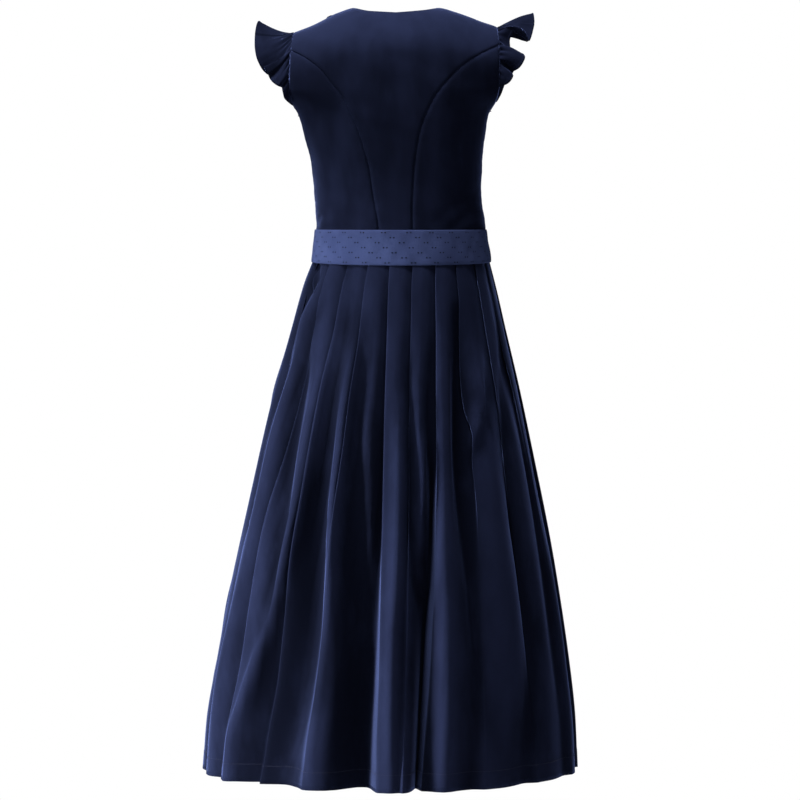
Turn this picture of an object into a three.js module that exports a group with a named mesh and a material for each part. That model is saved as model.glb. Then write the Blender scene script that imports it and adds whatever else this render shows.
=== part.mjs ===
// A filled-out dirndl: a velvet bodice with princess seams and ruffled cap sleeves, a knife-pleated
// velvet skirt, and a dotted cotton apron whose waistband lies over the waist seam.
// Millimetres, +Z up. The front faces -Y and +X is the wearer's left. The origin lies between the
// shoulders, at the height of the shoulder seams. Angles round the form are measured from the
// centre back, in degrees, and grow towards the wearer's left.
import * as THREE from 'three';

const { clamp, degToRad, lerp, smoothstep } = THREE.MathUtils;

// Driving sizes
const seamGap = 0.3;          // between two pieces that are sewn together
const sideSeamGap = 0.01;     // the same gap at a side seam, in degrees
const bodiceWall = 1.6;
const skirtWall = 1.1;
const ruffleWall = 1.2;
const bandWall = 1.2;
const apronWall = 1.0;
const waistHeight = -386;     // the seam between bodice and skirt
const hemHeight = -1174;
const apronHemHeight = -1100;
const underarmHeight = -158;
const neckHalf = 66.5;        // from the centre to a shoulder seam's neck end
const shoulderHalf = 158;     // from the centre to a shoulder seam's sleeve end

// The form under the bodice, one row for each level: half its width, how far its centre lies to the
// wearer's left, its depth at the back and at the front, and how square its section is.
const bodiceLevels = [
  { z: -386, half: 134.0, centre: -5, back: 91, front: 113, square: 2.15 },
  { z: -338, half: 131.5, centre: -4, back: 89, front: 112, square: 2.15 },
  { z: -285, half: 129.5, centre: 0, back: 90, front: 114, square: 2.2 },
  { z: -237, half: 132.5, centre: 2, back: 93, front: 119, square: 2.25 },
  { z: -191, half: 140.0, centre: 5, back: 96, front: 121, square: 2.3 },
  { z: -158, half: 149.0, centre: 6, back: 97, front: 118, square: 2.35 },
  { z: -120, half: 180.0, centre: 6, back: 96, front: 110, square: 2.4 },
  { z: -70, half: 185.0, centre: 5, back: 93, front: 99, square: 2.4 },
  { z: 10, half: 185.0, centre: 3, back: 86, front: 84, square: 2.4 },
];
const sideLine = -8;          // the form is widest on this line, a little in front of the origin
const bust = { height: 20, out: 72, z: -205, spread: 46 };

// The shoulder seam, out from the centre, with the wearer's left shoulder a little lower.
const shoulderSlope = [
  { out: 0, z: 8 }, { out: 66.5, z: 4 }, { out: 90, z: -2.5 }, { out: 112, z: -12 },
  { out: 130, z: -20 }, { out: 148, z: -26.5 }, { out: 158, z: -30 },
];
const shoulderTilt = -0.027;
const shoulderRound = 75;     // the cloth turns over the shoulder within this depth
const shoulderLine = 0;       // the shoulder seam's place from front to back

// The necklines, out from the centre
const backNeck = [{ out: 0, z: -5 }, { out: 40, z: -2 }, { out: 66.5, z: 4 }];
const frontNeck = [
  { out: 0, z: -132 }, { out: 24, z: -130 }, { out: 44, z: -112 },
  { out: 56, z: -76 }, { out: 63, z: -34 }, { out: 66.5, z: 4 },
];

// The armhole's edge and the princess seams, out from the centre, from low to high
const armholeEdge = [
  { z: -158, out: 149 }, { z: -150, out: 153 }, { z: -144, out: 156 }, { z: -131, out: 160 },
  { z: -119, out: 162 }, { z: -100, out: 161 }, { z: -64, out: 161 }, { z: -30, out: 158 },
];
const backSeam = [
  { z: -386, out: 24, shift: 7.5 }, { z: -332, out: 26, shift: 7.5 }, { z: -282, out: 30.5, shift: 7.5 },
  { z: -247, out: 34, shift: 7.5 }, { z: -217, out: 39.5, shift: 7.5 }, { z: -189, out: 46.5, shift: 7.5 },
  { z: -160, out: 58, shift: 7.5 }, { z: -134, out: 71.5, shift: 7 }, { z: -112, out: 89, shift: 6 },
  { z: -91, out: 108, shift: 4 }, { z: -72, out: 134, shift: 1.5 }, { z: -58, out: 160.9, shift: 0 },
];
const frontSeam = [
  { z: -386, out: 50 }, { z: -345, out: 55 }, { z: -305, out: 60 }, { z: -270, out: 65.5 },
  { z: -237, out: 71.5 }, { z: -205, out: 76 }, { z: -180, out: 81 }, { z: -158, out: 88.5 },
  { z: -138, out: 100 }, { z: -118, out: 116 }, { z: -97, out: 139 }, { z: -78, out: 160.9 },
];
const rowsAboveSeams = [-60, -46, -38, -32.5, -30];

// The outline that the pleats' outer folds keep, one row for each level of the skirt
const skirtLevels = [
  { z: -1174, half: 293.0, centre: 12, back: 251, front: 250, square: 2.0 },
  { z: -1100, half: 288.0, centre: 11, back: 247, front: 246, square: 2.0 },
  { z: -1006, half: 274.0, centre: 8, back: 238, front: 238, square: 2.0 },
  { z: -866, half: 251.0, centre: 5.5, back: 216, front: 220, square: 2.0 },
  { z: -725, half: 222.0, centre: 3.2, back: 186, front: 196, square: 2.0 },
  { z: -585, half: 190.6, centre: 1.6, back: 150, front: 166, square: 2.0 },
  { z: -492, half: 166.5, centre: -0.7, back: 122, front: 142, square: 2.05 },
  { z: -423, half: 149.0, centre: -2.2, back: 104, front: 126, square: 2.1 },
  { z: -386, half: 137.0, centre: -4.6, back: 93, front: 115, square: 2.15 },
];

// The knife pleats, from the wearer's left side round the back: the angle of each outer fold at the
// waist and at the hem, and the depth at the hem of the hollow that follows it.
const pleats = [
  { waist: 84, hem: 87, hollow: 14 }, { waist: 68, hem: 74, hollow: 10 },
  { waist: 51, hem: 61, hollow: 16 }, { waist: 34.5, hem: 45, hollow: 9 },
  { waist: 19.5, hem: 27, hollow: 50 }, { waist: 6, hem: 3.8, hollow: 8 },
  { waist: -6.5, hem: -3.6, hollow: 38 }, { waist: -21, hem: -9.8, hollow: 10 },
  { waist: -36, hem: -29, hollow: 16 }, { waist: -54, hem: -51, hollow: 9 },
  { waist: -71, hem: -72, hollow: 15 }, { waist: -87, hem: -89, hollow: 12 },
  { waist: -103, hem: -105, hollow: 20 }, { waist: -118, hem: -121, hollow: 12 },
  { waist: -133, hem: -135, hollow: 32 }, { waist: -148, hem: -147, hollow: 12 },
  { waist: -163, hem: -160, hollow: 24 }, { waist: -178, hem: -176, hollow: 14 },
  { waist: -193, hem: -191, hollow: 34 }, { waist: -208, hem: -204, hollow: 12 },
  { waist: -223, hem: -220, hollow: 18 }, { waist: -238, hem: -236, hollow: 28 },
  { waist: -253, hem: -250, hollow: 12 }, { waist: -266, hem: -262, hollow: 14 },
];
const pleatStack = 4.4;       // three layers of velvet where a pleat is sewn in
const pleatSwell = 7;         // how much the pleats open on their way down

// How one pleat lies, one row for each share of the way down. The panel leaves the outer fold, passes
// under the next one, turns in the hollow and comes back to it. Each pair is a place along the pleat,
// where 1 is the next outer fold, and a share of the hollow's depth.
const pleatShape = [
  { down: 0, a: 0.72, b: 1.0, c: 1.75, d: 1.75, e: 1.04,
    aIn: 0.1, bIn: 0.96, cIn: 1, dIn: 0.5, eIn: 0.48 },
  { down: 0.14, a: 0.62, b: 0.97, c: 1.42, d: 1.42, e: 1.04,
    aIn: 0.12, bIn: 0.9, cIn: 1, dIn: 0.55, eIn: 0.42 },
  { down: 0.34, a: 0.5, b: 0.84, c: 1.1, d: 1.13, e: 1.04,
    aIn: 0.15, bIn: 0.7, cIn: 1, dIn: 0.72, eIn: 0.36 },
  { down: 0.6, a: 0.4, b: 0.66, c: 0.87, d: 0.95, e: 0.99,
    aIn: 0.13, bIn: 0.52, cIn: 1, dIn: 0.85, eIn: 0.38 },
  { down: 1, a: 0.3, b: 0.54, c: 0.76, d: 0.86, e: 0.95,
    aIn: 0.1, bIn: 0.5, cIn: 1, dIn: 0.9, eIn: 0.36 },
];
const skirtRows = [1, 0.88, 0.76, 0.64, 0.52, 0.41, 0.31, 0.21, 0.13, 0.06, 0];

// The edge of each sleeve ruffle, one row for each turn of its waves, from the back of the armhole
// over the shoulder to the front: how far out from its seam, how high, and how far back from the seam.
const ruffleLeft = [
  { at: 0, out: 2, z: -146.5, back: 3 }, { at: 0.03, out: 5, z: -141, back: 5 },
  { at: 0.06, out: 8, z: -135, back: 5 }, { at: 0.09, out: 11, z: -125.5, back: 4 },
  { at: 0.115, out: 13, z: -119.5, back: -3 }, { at: 0.14, out: 16.5, z: -118.5, back: 4 },
  { at: 0.17, out: 20, z: -117, back: 7 }, { at: 0.2, out: 27, z: -112, back: 6 },
  { at: 0.225, out: 32, z: -106, back: -2 }, { at: 0.25, out: 36, z: -97, back: 4 },
  { at: 0.27, out: 41, z: -88, back: 6 }, { at: 0.3, out: 38, z: -99, back: -6 },
  { at: 0.33, out: 45, z: -93, back: -4 }, { at: 0.37, out: 51.5, z: -83.5, back: 2 },
  { at: 0.41, out: 57, z: -71, back: 6 }, { at: 0.45, out: 60, z: -54, back: 4 },
  { at: 0.49, out: 60.5, z: -40, back: -2 }, { at: 0.53, out: 58.5, z: -22, back: -8 },
  { at: 0.555, out: 55, z: -14.5, back: -12 }, { at: 0.59, out: 51, z: -32, back: -20 },
  { at: 0.63, out: 50, z: -50, back: -14 }, { at: 0.67, out: 45, z: -66, back: -6 },
  { at: 0.71, out: 38, z: -76, back: -12 }, { at: 0.75, out: 34, z: -88, back: -20 },
  { at: 0.8, out: 26, z: -101, back: -14 }, { at: 0.85, out: 18, z: -113, back: -4 },
  { at: 0.9, out: 10, z: -124, back: -9 }, { at: 0.95, out: 5, z: -132, back: -6 },
  { at: 1, out: 2, z: -139, back: -2 },
];
const ruffleRight = [
  { at: 0, out: 2, z: -118, back: 2 }, { at: 0.03, out: 11, z: -115.5, back: 6 },
  { at: 0.06, out: 17.5, z: -111, back: 8 }, { at: 0.09, out: 22, z: -102, back: 5 },
  { at: 0.115, out: 20.5, z: -97, back: -3 }, { at: 0.14, out: 30, z: -91, back: 10 },
  { at: 0.17, out: 36.5, z: -82, back: 14 }, { at: 0.2, out: 39.5, z: -73.5, back: 10 },
  { at: 0.22, out: 37, z: -69, back: 2 }, { at: 0.25, out: 22, z: -69, back: -6 },
  { at: 0.29, out: 18.5, z: -58.5, back: -6 }, { at: 0.32, out: 18, z: -49, back: -4 },
  { at: 0.35, out: 21.5, z: -37.5, back: 2 }, { at: 0.375, out: 29, z: -28.5, back: 8 },
  { at: 0.4, out: 37, z: -29, back: 14 }, { at: 0.425, out: 44.5, z: -38, back: 17 },
  { at: 0.45, out: 49, z: -47.5, back: 14 }, { at: 0.48, out: 55, z: -32, back: 8 },
  { at: 0.51, out: 58, z: -16, back: 2 }, { at: 0.54, out: 56.5, z: -3, back: -6 },
  { at: 0.58, out: 54, z: -24, back: -14 }, { at: 0.61, out: 48, z: -46, back: -18 },
  { at: 0.645, out: 34.5, z: -42, back: -14 }, { at: 0.68, out: 21.5, z: -38.5, back: -10 },
  { at: 0.71, out: 12, z: -44, back: -8 }, { at: 0.745, out: 10, z: -55, back: -4 },
  { at: 0.785, out: 18, z: -67, back: -9 }, { at: 0.82, out: 29, z: -78, back: -14 },
  { at: 0.86, out: 26, z: -92, back: -7 }, { at: 0.9, out: 16, z: -105, back: -2 },
  { at: 0.95, out: 9, z: -121, back: -7 }, { at: 1, out: 2, z: -139, back: -2 },
];
const ruffleEnds = {
  left: { back: -144, front: -136, sag: 3 },
  right: { back: -122, front: -136, sag: -4 },
};
const ruffleColumns = 54;
const ruffleRows = 4;

// The apron
const bandTop = -337;
const bandBottom = -387;
const bandDip = 4;            // the band's lower edge hangs lower at the back
const bandLiftTop = 2.1;      // out from the bodice at its upper and lower edge
const bandLiftBottom = 5.2;
const bandEnd = -150;         // the lapped end, on the front
const bandLap = 10;           // degrees of overlap
const bandColumns = 74;
const apronHalfAngle = 66;
const apronGathers = 14;
const apronFolds = 5;
const apronOffWaist = 4.4;    // out from the skirt's outer folds, at the waist and at the hem
const apronOffHem = 6;
const apronGather = 1.6;
const apronFold = 5;

// The front opening: the wearer's right front laps over the left
const frontLap = 11;
const lapLift = 2.1;
const lapMiddle = 184;        // the lapped stretch, as an angle round the form
const lapHalfAngle = 17;
const buttonCount = 7;
const buttonTop = -150;
const buttonPitch = 29;
const buttonRadius = 6.5;
const buttonRim = 0.8;
const buttonDome = 2.6;
const buttonShank = 2.4;
const buttonStand = 1.6;
const buttonSeat = 0.5;       // the shank clears the cloth, which bends under it

const velvet = { color: 0x10183a, roughness: 0.85, metalness: 0 };
const cotton = { color: 0x2c3a68, roughness: 0.8, metalness: 0 };
const horn = { color: 0x15192b, roughness: 0.35, metalness: 0 };

// A smooth curve through two columns of a table, that never swings past its rows.
function curveThrough(rows, at, column) {
  const sorted = [...rows].sort((p, q) => p[at] - q[at]);
  const x = sorted.map((row) => row[at]);
  const y = sorted.map((row) => row[column]);
  const last = x.length - 1;
  const slope = x.slice(1).map((v, i) => (y[i + 1] - y[i]) / (v - x[i]));
  const tangent = x.map((v, i) => {
    const before = slope[Math.max(i - 1, 0)];
    const after = slope[Math.min(i, last - 1)];
    return before * after <= 0 ? 0 : (2 * before * after) / (before + after);
  });
  return (v) => {
    let i = 0;
    while (i < last - 1 && v > x[i + 1]) {
      i++;
    }
    const step = x[i + 1] - x[i];
    const t = clamp((v - x[i]) / step, 0, 1);
    const bend = step * (tangent[i] * (1 - t) * (1 - t) * t - tangent[i + 1] * (1 - t) * t * t);
    return lerp(y[i], y[i + 1], t * t * (3 - 2 * t)) + bend;
  };
}

// The columns of a table of levels, each as a curve over the height.
function levelCurves(levels) {
  const curves = {};
  for (const column of ['half', 'centre', 'back', 'front', 'square']) {
    curves[column] = curveThrough(levels, 'z', column);
  }
  return curves;
}

const form = levelCurves(bodiceLevels);
const hoop = levelCurves(skirtLevels);
const shoulderAt = curveThrough(shoulderSlope, 'out', 'z');
const armholeAt = curveThrough(armholeEdge, 'z', 'out');

// How much lower or higher the tilted shoulder lies at a place. The neck stays level.
function tiltAt(x) {
  return shoulderTilt * x * smoothstep(Math.abs(x), 60, 130);
}

// The height of the shoulder seam above a place.
function shoulderHeight(x) {
  return shoulderAt(Math.abs(x - form.centre(0))) + tiltAt(x);
}

// A point of a section: an ellipse made a little square, deeper at the front than at the back.
function onSection(levels, angle, z, out = 0) {
  const sine = Math.sin(degToRad(angle));
  const cosine = Math.cos(degToRad(angle));
  const power = 2 / levels.square(z);
  const depth = cosine > 0 ? levels.back(z) - sideLine : levels.front(z) + sideLine;
  const x = levels.centre(z) + (levels.half(z) + out) * Math.sign(sine) * Math.abs(sine) ** power;
  const y = sideLine + (depth + out) * Math.sign(cosine) * Math.abs(cosine) ** power;
  return new THREE.Vector3(x, y, z);
}

// The angle from the centre back, on the back half, of a place that lies that far from the centre.
function angleOf(out, z) {
  const share = clamp(Math.abs(out) / form.half(z), 0, 1);
  return (Math.sign(out) * Math.asin(share ** (form.square(z) / 2)) * 180) / Math.PI;
}

// A point of the bodice's outer face. It rounds over the shoulder, and the front has its cups.
function onBodice(angle, z, out = 0) {
  const point = onSection(form, angle, z, out);
  const isBack = Math.cos(degToRad(angle)) > 0;
  if (!isBack) {
    const side = (Math.abs(point.x - form.centre(z)) - bust.out) / bust.spread;
    const up = (z - bust.z) / bust.spread;
    const atSideSeam = smoothstep(Math.abs(Math.sin(degToRad(angle))), 0.85, 1);
    point.y -= bust.height * (1 - atSideSeam) * Math.exp(-side * side - up * up);
  }
  const drop = clamp((shoulderHeight(point.x) - z) / shoulderRound, 0, 1);
  const round = Math.sqrt(1 - (1 - drop) ** 2);
  point.y = shoulderLine + (point.y - shoulderLine) * round + (isBack ? seamGap / 2 : -seamGap / 2);
  return point;
}

// A closed wall from two equal grids of points, the outer and the inner. Seen from outside, the
// columns run to the right and the rows run up.
function wallBetween(outer, inner) {
  const columns = outer.length;
  const rows = outer[0].length;
  const position = [];
  const index = [];
  for (const grid of [outer, inner]) {
    for (const column of grid) {
      for (const point of column) {
        position.push(point.x, point.y, point.z);
      }
    }
  }
  const outerAt = (i, j) => i * rows + j;
  const innerAt = (i, j) => (columns + i) * rows + j;
  const top = rows - 1;
  const last = columns - 1;
  const addQuad = (a, b, c, d) => {
    index.push(a, b, c, a, c, d);
  };
  for (let i = 0; i < columns - 1; i++) {
    for (let j = 0; j < rows - 1; j++) {
      addQuad(outerAt(i, j), outerAt(i + 1, j), outerAt(i + 1, j + 1), outerAt(i, j + 1));
      addQuad(innerAt(i, j), innerAt(i, j + 1), innerAt(i + 1, j + 1), innerAt(i + 1, j));
    }
    addQuad(outerAt(i + 1, 0), outerAt(i, 0), innerAt(i, 0), innerAt(i + 1, 0));
    addQuad(outerAt(i, top), outerAt(i + 1, top), innerAt(i + 1, top), innerAt(i, top));
  }
  for (let j = 0; j < rows - 1; j++) {
    addQuad(outerAt(0, j), outerAt(0, j + 1), innerAt(0, j + 1), innerAt(0, j));
    addQuad(outerAt(last, j + 1), outerAt(last, j), innerAt(last, j), innerAt(last, j + 1));
  }
  const geometry = new THREE.BufferGeometry();
  geometry.setAttribute('position', new THREE.Float32BufferAttribute(position, 3));
  geometry.setIndex(index);
  geometry.computeVertexNormals();
  return geometry;
}

// A grid of outer points made a wall: each point is moved in, square to the cloth.
function clothWall(outer, thickness) {
  const columns = outer.length;
  const rows = outer[0].length;
  const inner = outer.map((column, i) => column.map((point, j) => {
    const left = outer[Math.max(i - 1, 0)][j];
    const right = outer[Math.min(i + 1, columns - 1)][j];
    const below = column[Math.max(j - 1, 0)];
    const above = column[Math.min(j + 1, rows - 1)];
    const normal = right.clone().sub(left).cross(above.clone().sub(below)).normalize();
    return point.clone().addScaledVector(normal, -thickness);
  }));
  return wallBetween(outer, inner);
}

// A panel of the bodice, from columns of places on it: an angle, a height and how far it is lifted.
function bodiceWallOf(columns) {
  const outer = columns.map((column) => column.map((at) => onBodice(at.angle, at.z, at.lift)));
  const inner = columns.map((column, i) => column.map((at, j) => {
    const right = onBodice(at.angle - 0.5, at.z, at.lift);
    const left = onBodice(at.angle + 0.5, at.z, at.lift);
    const above = onBodice(at.angle, at.z + 1, at.lift);
    const below = onBodice(at.angle, at.z - 1, at.lift);
    const normal = right.sub(left).cross(above.sub(below)).normalize();
    const point = outer[i][j].clone().addScaledVector(normal, -bodiceWall);
    const isBack = Math.cos(degToRad(at.angle)) > 0;
    const isTop = at.z > shoulderHeight(point.x) - 5;
    if (isTop && isBack) {
      point.y = Math.max(point.y, shoulderLine + seamGap / 2);
    }
    if (isTop && !isBack) {
      point.y = Math.min(point.y, shoulderLine - seamGap / 2);
    }
    return point;
  }));
  return wallBetween(outer, inner);
}

// Steps from 0 to 1.
function shares(count) {
  return Array.from({ length: count + 1 }, (v, i) => i / count);
}

const dress = new THREE.Group();

function addPiece(name, geometry, finish) {
  const mesh = new THREE.Mesh(geometry, new THREE.MeshStandardMaterial(finish));
  mesh.name = name;
  dress.add(mesh);
  return mesh;
}

// The heights in the tables are for level shoulders. This is how far up one is, from waist to shoulder.
function shareOf(height) {
  return (height - waistHeight) / (shoulderSlope.at(-1).z - waistHeight);
}

// The same height on the wearer's left or right, where the shoulder is lower or higher.
function heightOn(side, height) {
  const shoulder = shoulderHeight(side * shoulderHalf + form.centre(0));
  return lerp(waistHeight + seamGap / 2, shoulder, shareOf(height));
}

// The heights of a panel's rows: those of its princess seam, and closer ones over the shoulder.
function rowHeights(seamRows) {
  const seamTop = seamRows.at(-1).z;
  return [...seamRows.map((row) => row.z), ...rowsAboveSeams.filter((z) => z > seamTop + 5)];
}

// How far out a row ends: on the princess seam or, above that, on the armhole.
function rowEnd(seamRows, side, height) {
  const row = seamRows.find((candidate) => candidate.z === height);
  return row ? side * row.out + (row.shift ?? 0) : side * armholeAt(height);
}

// The centre back reaches from the waist to the neck and both shoulders.
function backCentre() {
  const neckAt = curveThrough(backNeck, 'out', 'z');
  const shoulderSteps = shares(4).map((v) => lerp(shoulderHalf, neckHalf, v));
  const neckSteps = shares(8).slice(1, -1).map((v) => lerp(neckHalf, -neckHalf, v));
  const acrossTop = [...shoulderSteps, ...neckSteps, ...shoulderSteps.map((v) => -v).reverse()];
  const columns = acrossTop.map((topOut) => {
    const across = (shoulderHalf - topOut) / (2 * shoulderHalf);
    const x = topOut + form.centre(0);
    const isNeck = Math.abs(topOut) < neckHalf;
    const top = isNeck ? neckAt(Math.abs(topOut)) + tiltAt(x) : shoulderHeight(x);
    return rowHeights(backSeam).map((height) => {
      const z = lerp(waistHeight + seamGap / 2, top, shareOf(height));
      const left = rowEnd(backSeam, 1, height) - seamGap / 2;
      const right = rowEnd(backSeam, -1, height) + seamGap / 2;
      return { angle: angleOf(lerp(left, right, across), z), z };
    });
  });
  return bodiceWallOf(columns);
}

// A side panel lies between a princess seam and the side seam, and ends at the armhole.
function sidePanel(seamRows, side, isBack) {
  const bottom = waistHeight + seamGap / 2;
  const seamTop = heightOn(side, seamRows.at(-1).z);
  const sideSeam = 90 - sideSeamGap;
  const columns = shares(8).map((across) => {
    const topHeight = lerp(seamRows.at(-1).z, underarmHeight, Math.sin((across * Math.PI) / 2) ** 1.2);
    const top = heightOn(side, topHeight);
    const topAngle = Math.abs(angleOf(armholeAt(topHeight), top));
    return seamRows.map((row) => {
      const seamZ = heightOn(side, row.z);
      const share = (seamZ - bottom) / (seamTop - bottom);
      const z = lerp(bottom, top, share);
      const seamEnd = Math.abs(rowEnd(seamRows, side, row.z)) + seamGap / 2;
      const level = lerp(angleOf(seamEnd, seamZ), sideSeam, across);
      const levelAtTop = lerp(angleOf(armholeAt(seamRows.at(-1).z), seamTop), sideSeam, across);
      const angle = Math.min(level + (topAngle - levelAtTop) * share ** 4, sideSeam);
      return { angle: side * (isBack ? angle : 180 - angle), z };
    });
  });
  const runsRight = (side < 0) === isBack;
  return bodiceWallOf(runsRight ? columns : columns.reverse());
}

// How far out a place of a front lies. Its closing edge laps over the middle, its shoulder doesn't.
function frontOut(side, seam, topOut, height) {
  const atShoulder = smoothstep(shareOf(height), 0.7, 1) * smoothstep(topOut, 40, neckHalf);
  return lerp(-side * frontLap * (1 - atShoulder), seam, topOut / shoulderHalf);
}

// A front reaches from the centre-front edge to the princess seam, the shoulder and the neck.
function frontPanel(side) {
  const neckAt = curveThrough(frontNeck, 'out', 'z');
  const neckSteps = [0, 14, 28, 40, 50, 58, 63.5];
  const acrossTop = [...neckSteps, ...shares(4).map((v) => lerp(neckHalf, shoulderHalf, v))];
  const lies = side < 0 ? lapLift : 0;
  const columns = acrossTop.map((topOut) => {
    const seamEnd = side * (shoulderHalf - seamGap / 2);
    const x = frontOut(side, seamEnd, topOut, shoulderSlope.at(-1).z) + form.centre(0);
    const top = topOut < neckHalf ? neckAt(topOut) + tiltAt(x) : shoulderHeight(x);
    return rowHeights(frontSeam).map((height) => {
      const z = lerp(waistHeight + seamGap / 2, top, shareOf(height));
      const seam = rowEnd(frontSeam, side, height) - (side * seamGap) / 2;
      const out = frontOut(side, seam, topOut, height);
      const lift = lies * (1 - smoothstep(side * out, frontLap + 2, frontLap + 26));
      return { angle: 180 - angleOf(out, z), z, lift };
    });
  });
  return bodiceWallOf(side > 0 ? columns : columns.reverse());
}

// A point of the sleeve seam, from the back of the armhole over the shoulder to its front.
function onArmhole(side, share, ends) {
  const isBack = share <= 0.5;
  const climb = Math.sin(Math.PI * (isBack ? share : 1 - share)) ** 0.9;
  const height = lerp(isBack ? ends.back : ends.front, shoulderSlope.at(-1).z, climb);
  const z = heightOn(side, height);
  const angle = angleOf(side * armholeAt(height), z);
  return onBodice(isBack ? angle : 180 - angle, z);
}

function ruffle(side, rows, ends) {
  const edge = {};
  for (const column of ['out', 'z', 'back']) {
    edge[column] = curveThrough(rows, 'at', column);
  }
  const columns = shares(ruffleColumns).map((share) => {
    const seam = onArmhole(side, share, ends);
    seam.x += side * (seamGap + 0.2);
    const reach = new THREE.Vector3(side * edge.out(share), edge.back(share), edge.z(share) - seam.z);
    return shares(ruffleRows).map((down) => {
      const point = seam.clone().addScaledVector(reach, down);
      point.y += 0.3 * edge.back(share) * Math.sin(Math.PI * down);
      point.z -= ends.sag * Math.sin(Math.PI * down) * smoothstep(edge.out(share), 0, 40);
      return point;
    });
  });
  return clothWall(side > 0 ? columns : columns.reverse(), ruffleWall);
}

// The angle of a place along the pleats, counted in pleats, where a whole number is an outer fold.
function pleatAngle(place, down) {
  const count = pleats.length;
  const angleAt = (n) => {
    const turn = Math.floor(n / count);
    const pleat = pleats[n - turn * count];
    return lerp(pleat.waist, pleat.hem, down) - 360 * turn;
  };
  const whole = Math.floor(place);
  return lerp(angleAt(whole), angleAt(whole + 1), place - whole);
}

const pleatCurves = {};
for (const column of Object.keys(pleatShape[0])) {
  pleatCurves[column] = curveThrough(pleatShape, 'down', column);
}

// A point halfway through the skirt's wall.
function onSkirt(place, depth, down) {
  const z = lerp(waistHeight - seamGap / 2, hemHeight, down);
  return onSection(hoop, pleatAngle(place, down), z, -depth - skirtWall / 2);
}

// One level of the skirt: the middle of the cloth through the given pleats.
function pleatLine(first, count, down) {
  const line = [];
  const hollowDepth = (n) => {
    const pleat = pleats[(n + pleats.length) % pleats.length];
    return lerp(pleatStack, pleat.hollow, down) + pleatSwell * 4 * down * (1 - down) ** 2;
  };
  const turnOf = (n, step) => {
    const place = pleatCurves[step](down);
    return onSkirt(n + place, hollowDepth(n) * pleatCurves[`${step}In`](down), down);
  };
  const halfGap = seamGap / 2 / (turnOf(first - 1, 'c').distanceTo(turnOf(first - 1, 'd')) + seamGap);
  line.push(turnOf(first - 1, 'c').lerp(turnOf(first - 1, 'd'), 0.5 + halfGap));
  line.push(turnOf(first - 1, 'd'), turnOf(first - 1, 'e'));
  for (let n = first; n < first + count; n++) {
    line.push(onSkirt(n, 0, down));
    for (const step of ['a', 'b', 'c', 'd', 'e']) {
      line.push(turnOf(n, step));
    }
  }
  line.splice(-2);
  const last = first + count - 1;
  line.push(turnOf(last, 'c').lerp(turnOf(last, 'd'), 0.5 - halfGap));
  return line;
}

// The two faces of the cloth along one level, each square to the line.
function faceOf(line, distance) {
  return line.map((point, i) => {
    const before = point.clone().sub(line[Math.max(i - 1, 0)]);
    const after = line[Math.min(i + 1, line.length - 1)].clone().sub(point);
    if (i === 0) {
      before.copy(after);
    }
    if (i === line.length - 1) {
      after.copy(before);
    }
    before.normalize();
    after.normalize();
    const along = before.clone().add(after).normalize();
    const mitre = Math.min(1 / Math.max(along.dot(after), 0.5), 1.5);
    const step = distance * mitre;
    return new THREE.Vector3(point.x + along.y * step, point.y - along.x * step, point.z);
  });
}

function skirtHalf(first, count) {
  const lines = skirtRows.map((down) => pleatLine(first, count, down));
  const gridOf = (distance) => {
    const faces = lines.map((line) => faceOf(line, distance));
    return faces[0].map((point, i) => faces.map((face) => face[i]));
  };
  return wallBetween(gridOf(skirtWall / 2), gridOf(-skirtWall / 2));
}

// The waistband winds once round the waist and laps over its own end.
function waistband() {
  const columns = shares(bandColumns).map((share) => {
    const angle = bandEnd - share * (360 + bandLap);
    const onTop = smoothstep(share, 1 - (2.4 * bandLap) / 360, 1 - (1.2 * bandLap) / 360);
    const dip = bandDip * Math.max(Math.cos(degToRad(angle)), 0);
    return shares(3).map((up) => {
      const z = lerp(bandBottom - dip, bandTop, up);
      const fromLap = Math.abs(THREE.MathUtils.euclideanModulo(angle, 360) - lapMiddle);
      const overLap = lapLift * (1 - smoothstep(fromLap, lapHalfAngle, 2 * lapHalfAngle));
      const lift = lerp(bandLiftBottom, bandLiftTop, up) + onTop * (bandWall + 0.4) + overLap;
      return onSection(form, angle, Math.max(z, waistHeight), lift).setZ(z);
    });
  });
  return clothWall(columns, bandWall);
}

// The apron panel is gathered into the band and hangs over the front of the skirt.
function apronPanel() {
  const top = bandBottom - seamGap;
  const columns = shares(apronGathers * 4).map((share) => {
    const angle = 180 + lerp(apronHalfAngle, -apronHalfAngle, share);
    const gatherWave = 1 + Math.sin(2 * Math.PI * apronGathers * share);
    const foldWave = 1 + Math.sin(2 * Math.PI * (apronFolds * share + 0.1));
    return shares(9).map((up) => {
      const down = (1 - up) ** 1.25;
      const z = lerp(top, apronHemHeight, down);
      const gather = apronGather * (1 - smoothstep(down, 0, 0.5)) * gatherWave;
      const fold = apronFold * smoothstep(down, 0, 0.9) * foldWave;
      return onSection(hoop, angle, z, lerp(apronOffWaist, apronOffHem, down) + gather + fold);
    });
  });
  return clothWall(columns, apronWall);
}

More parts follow.
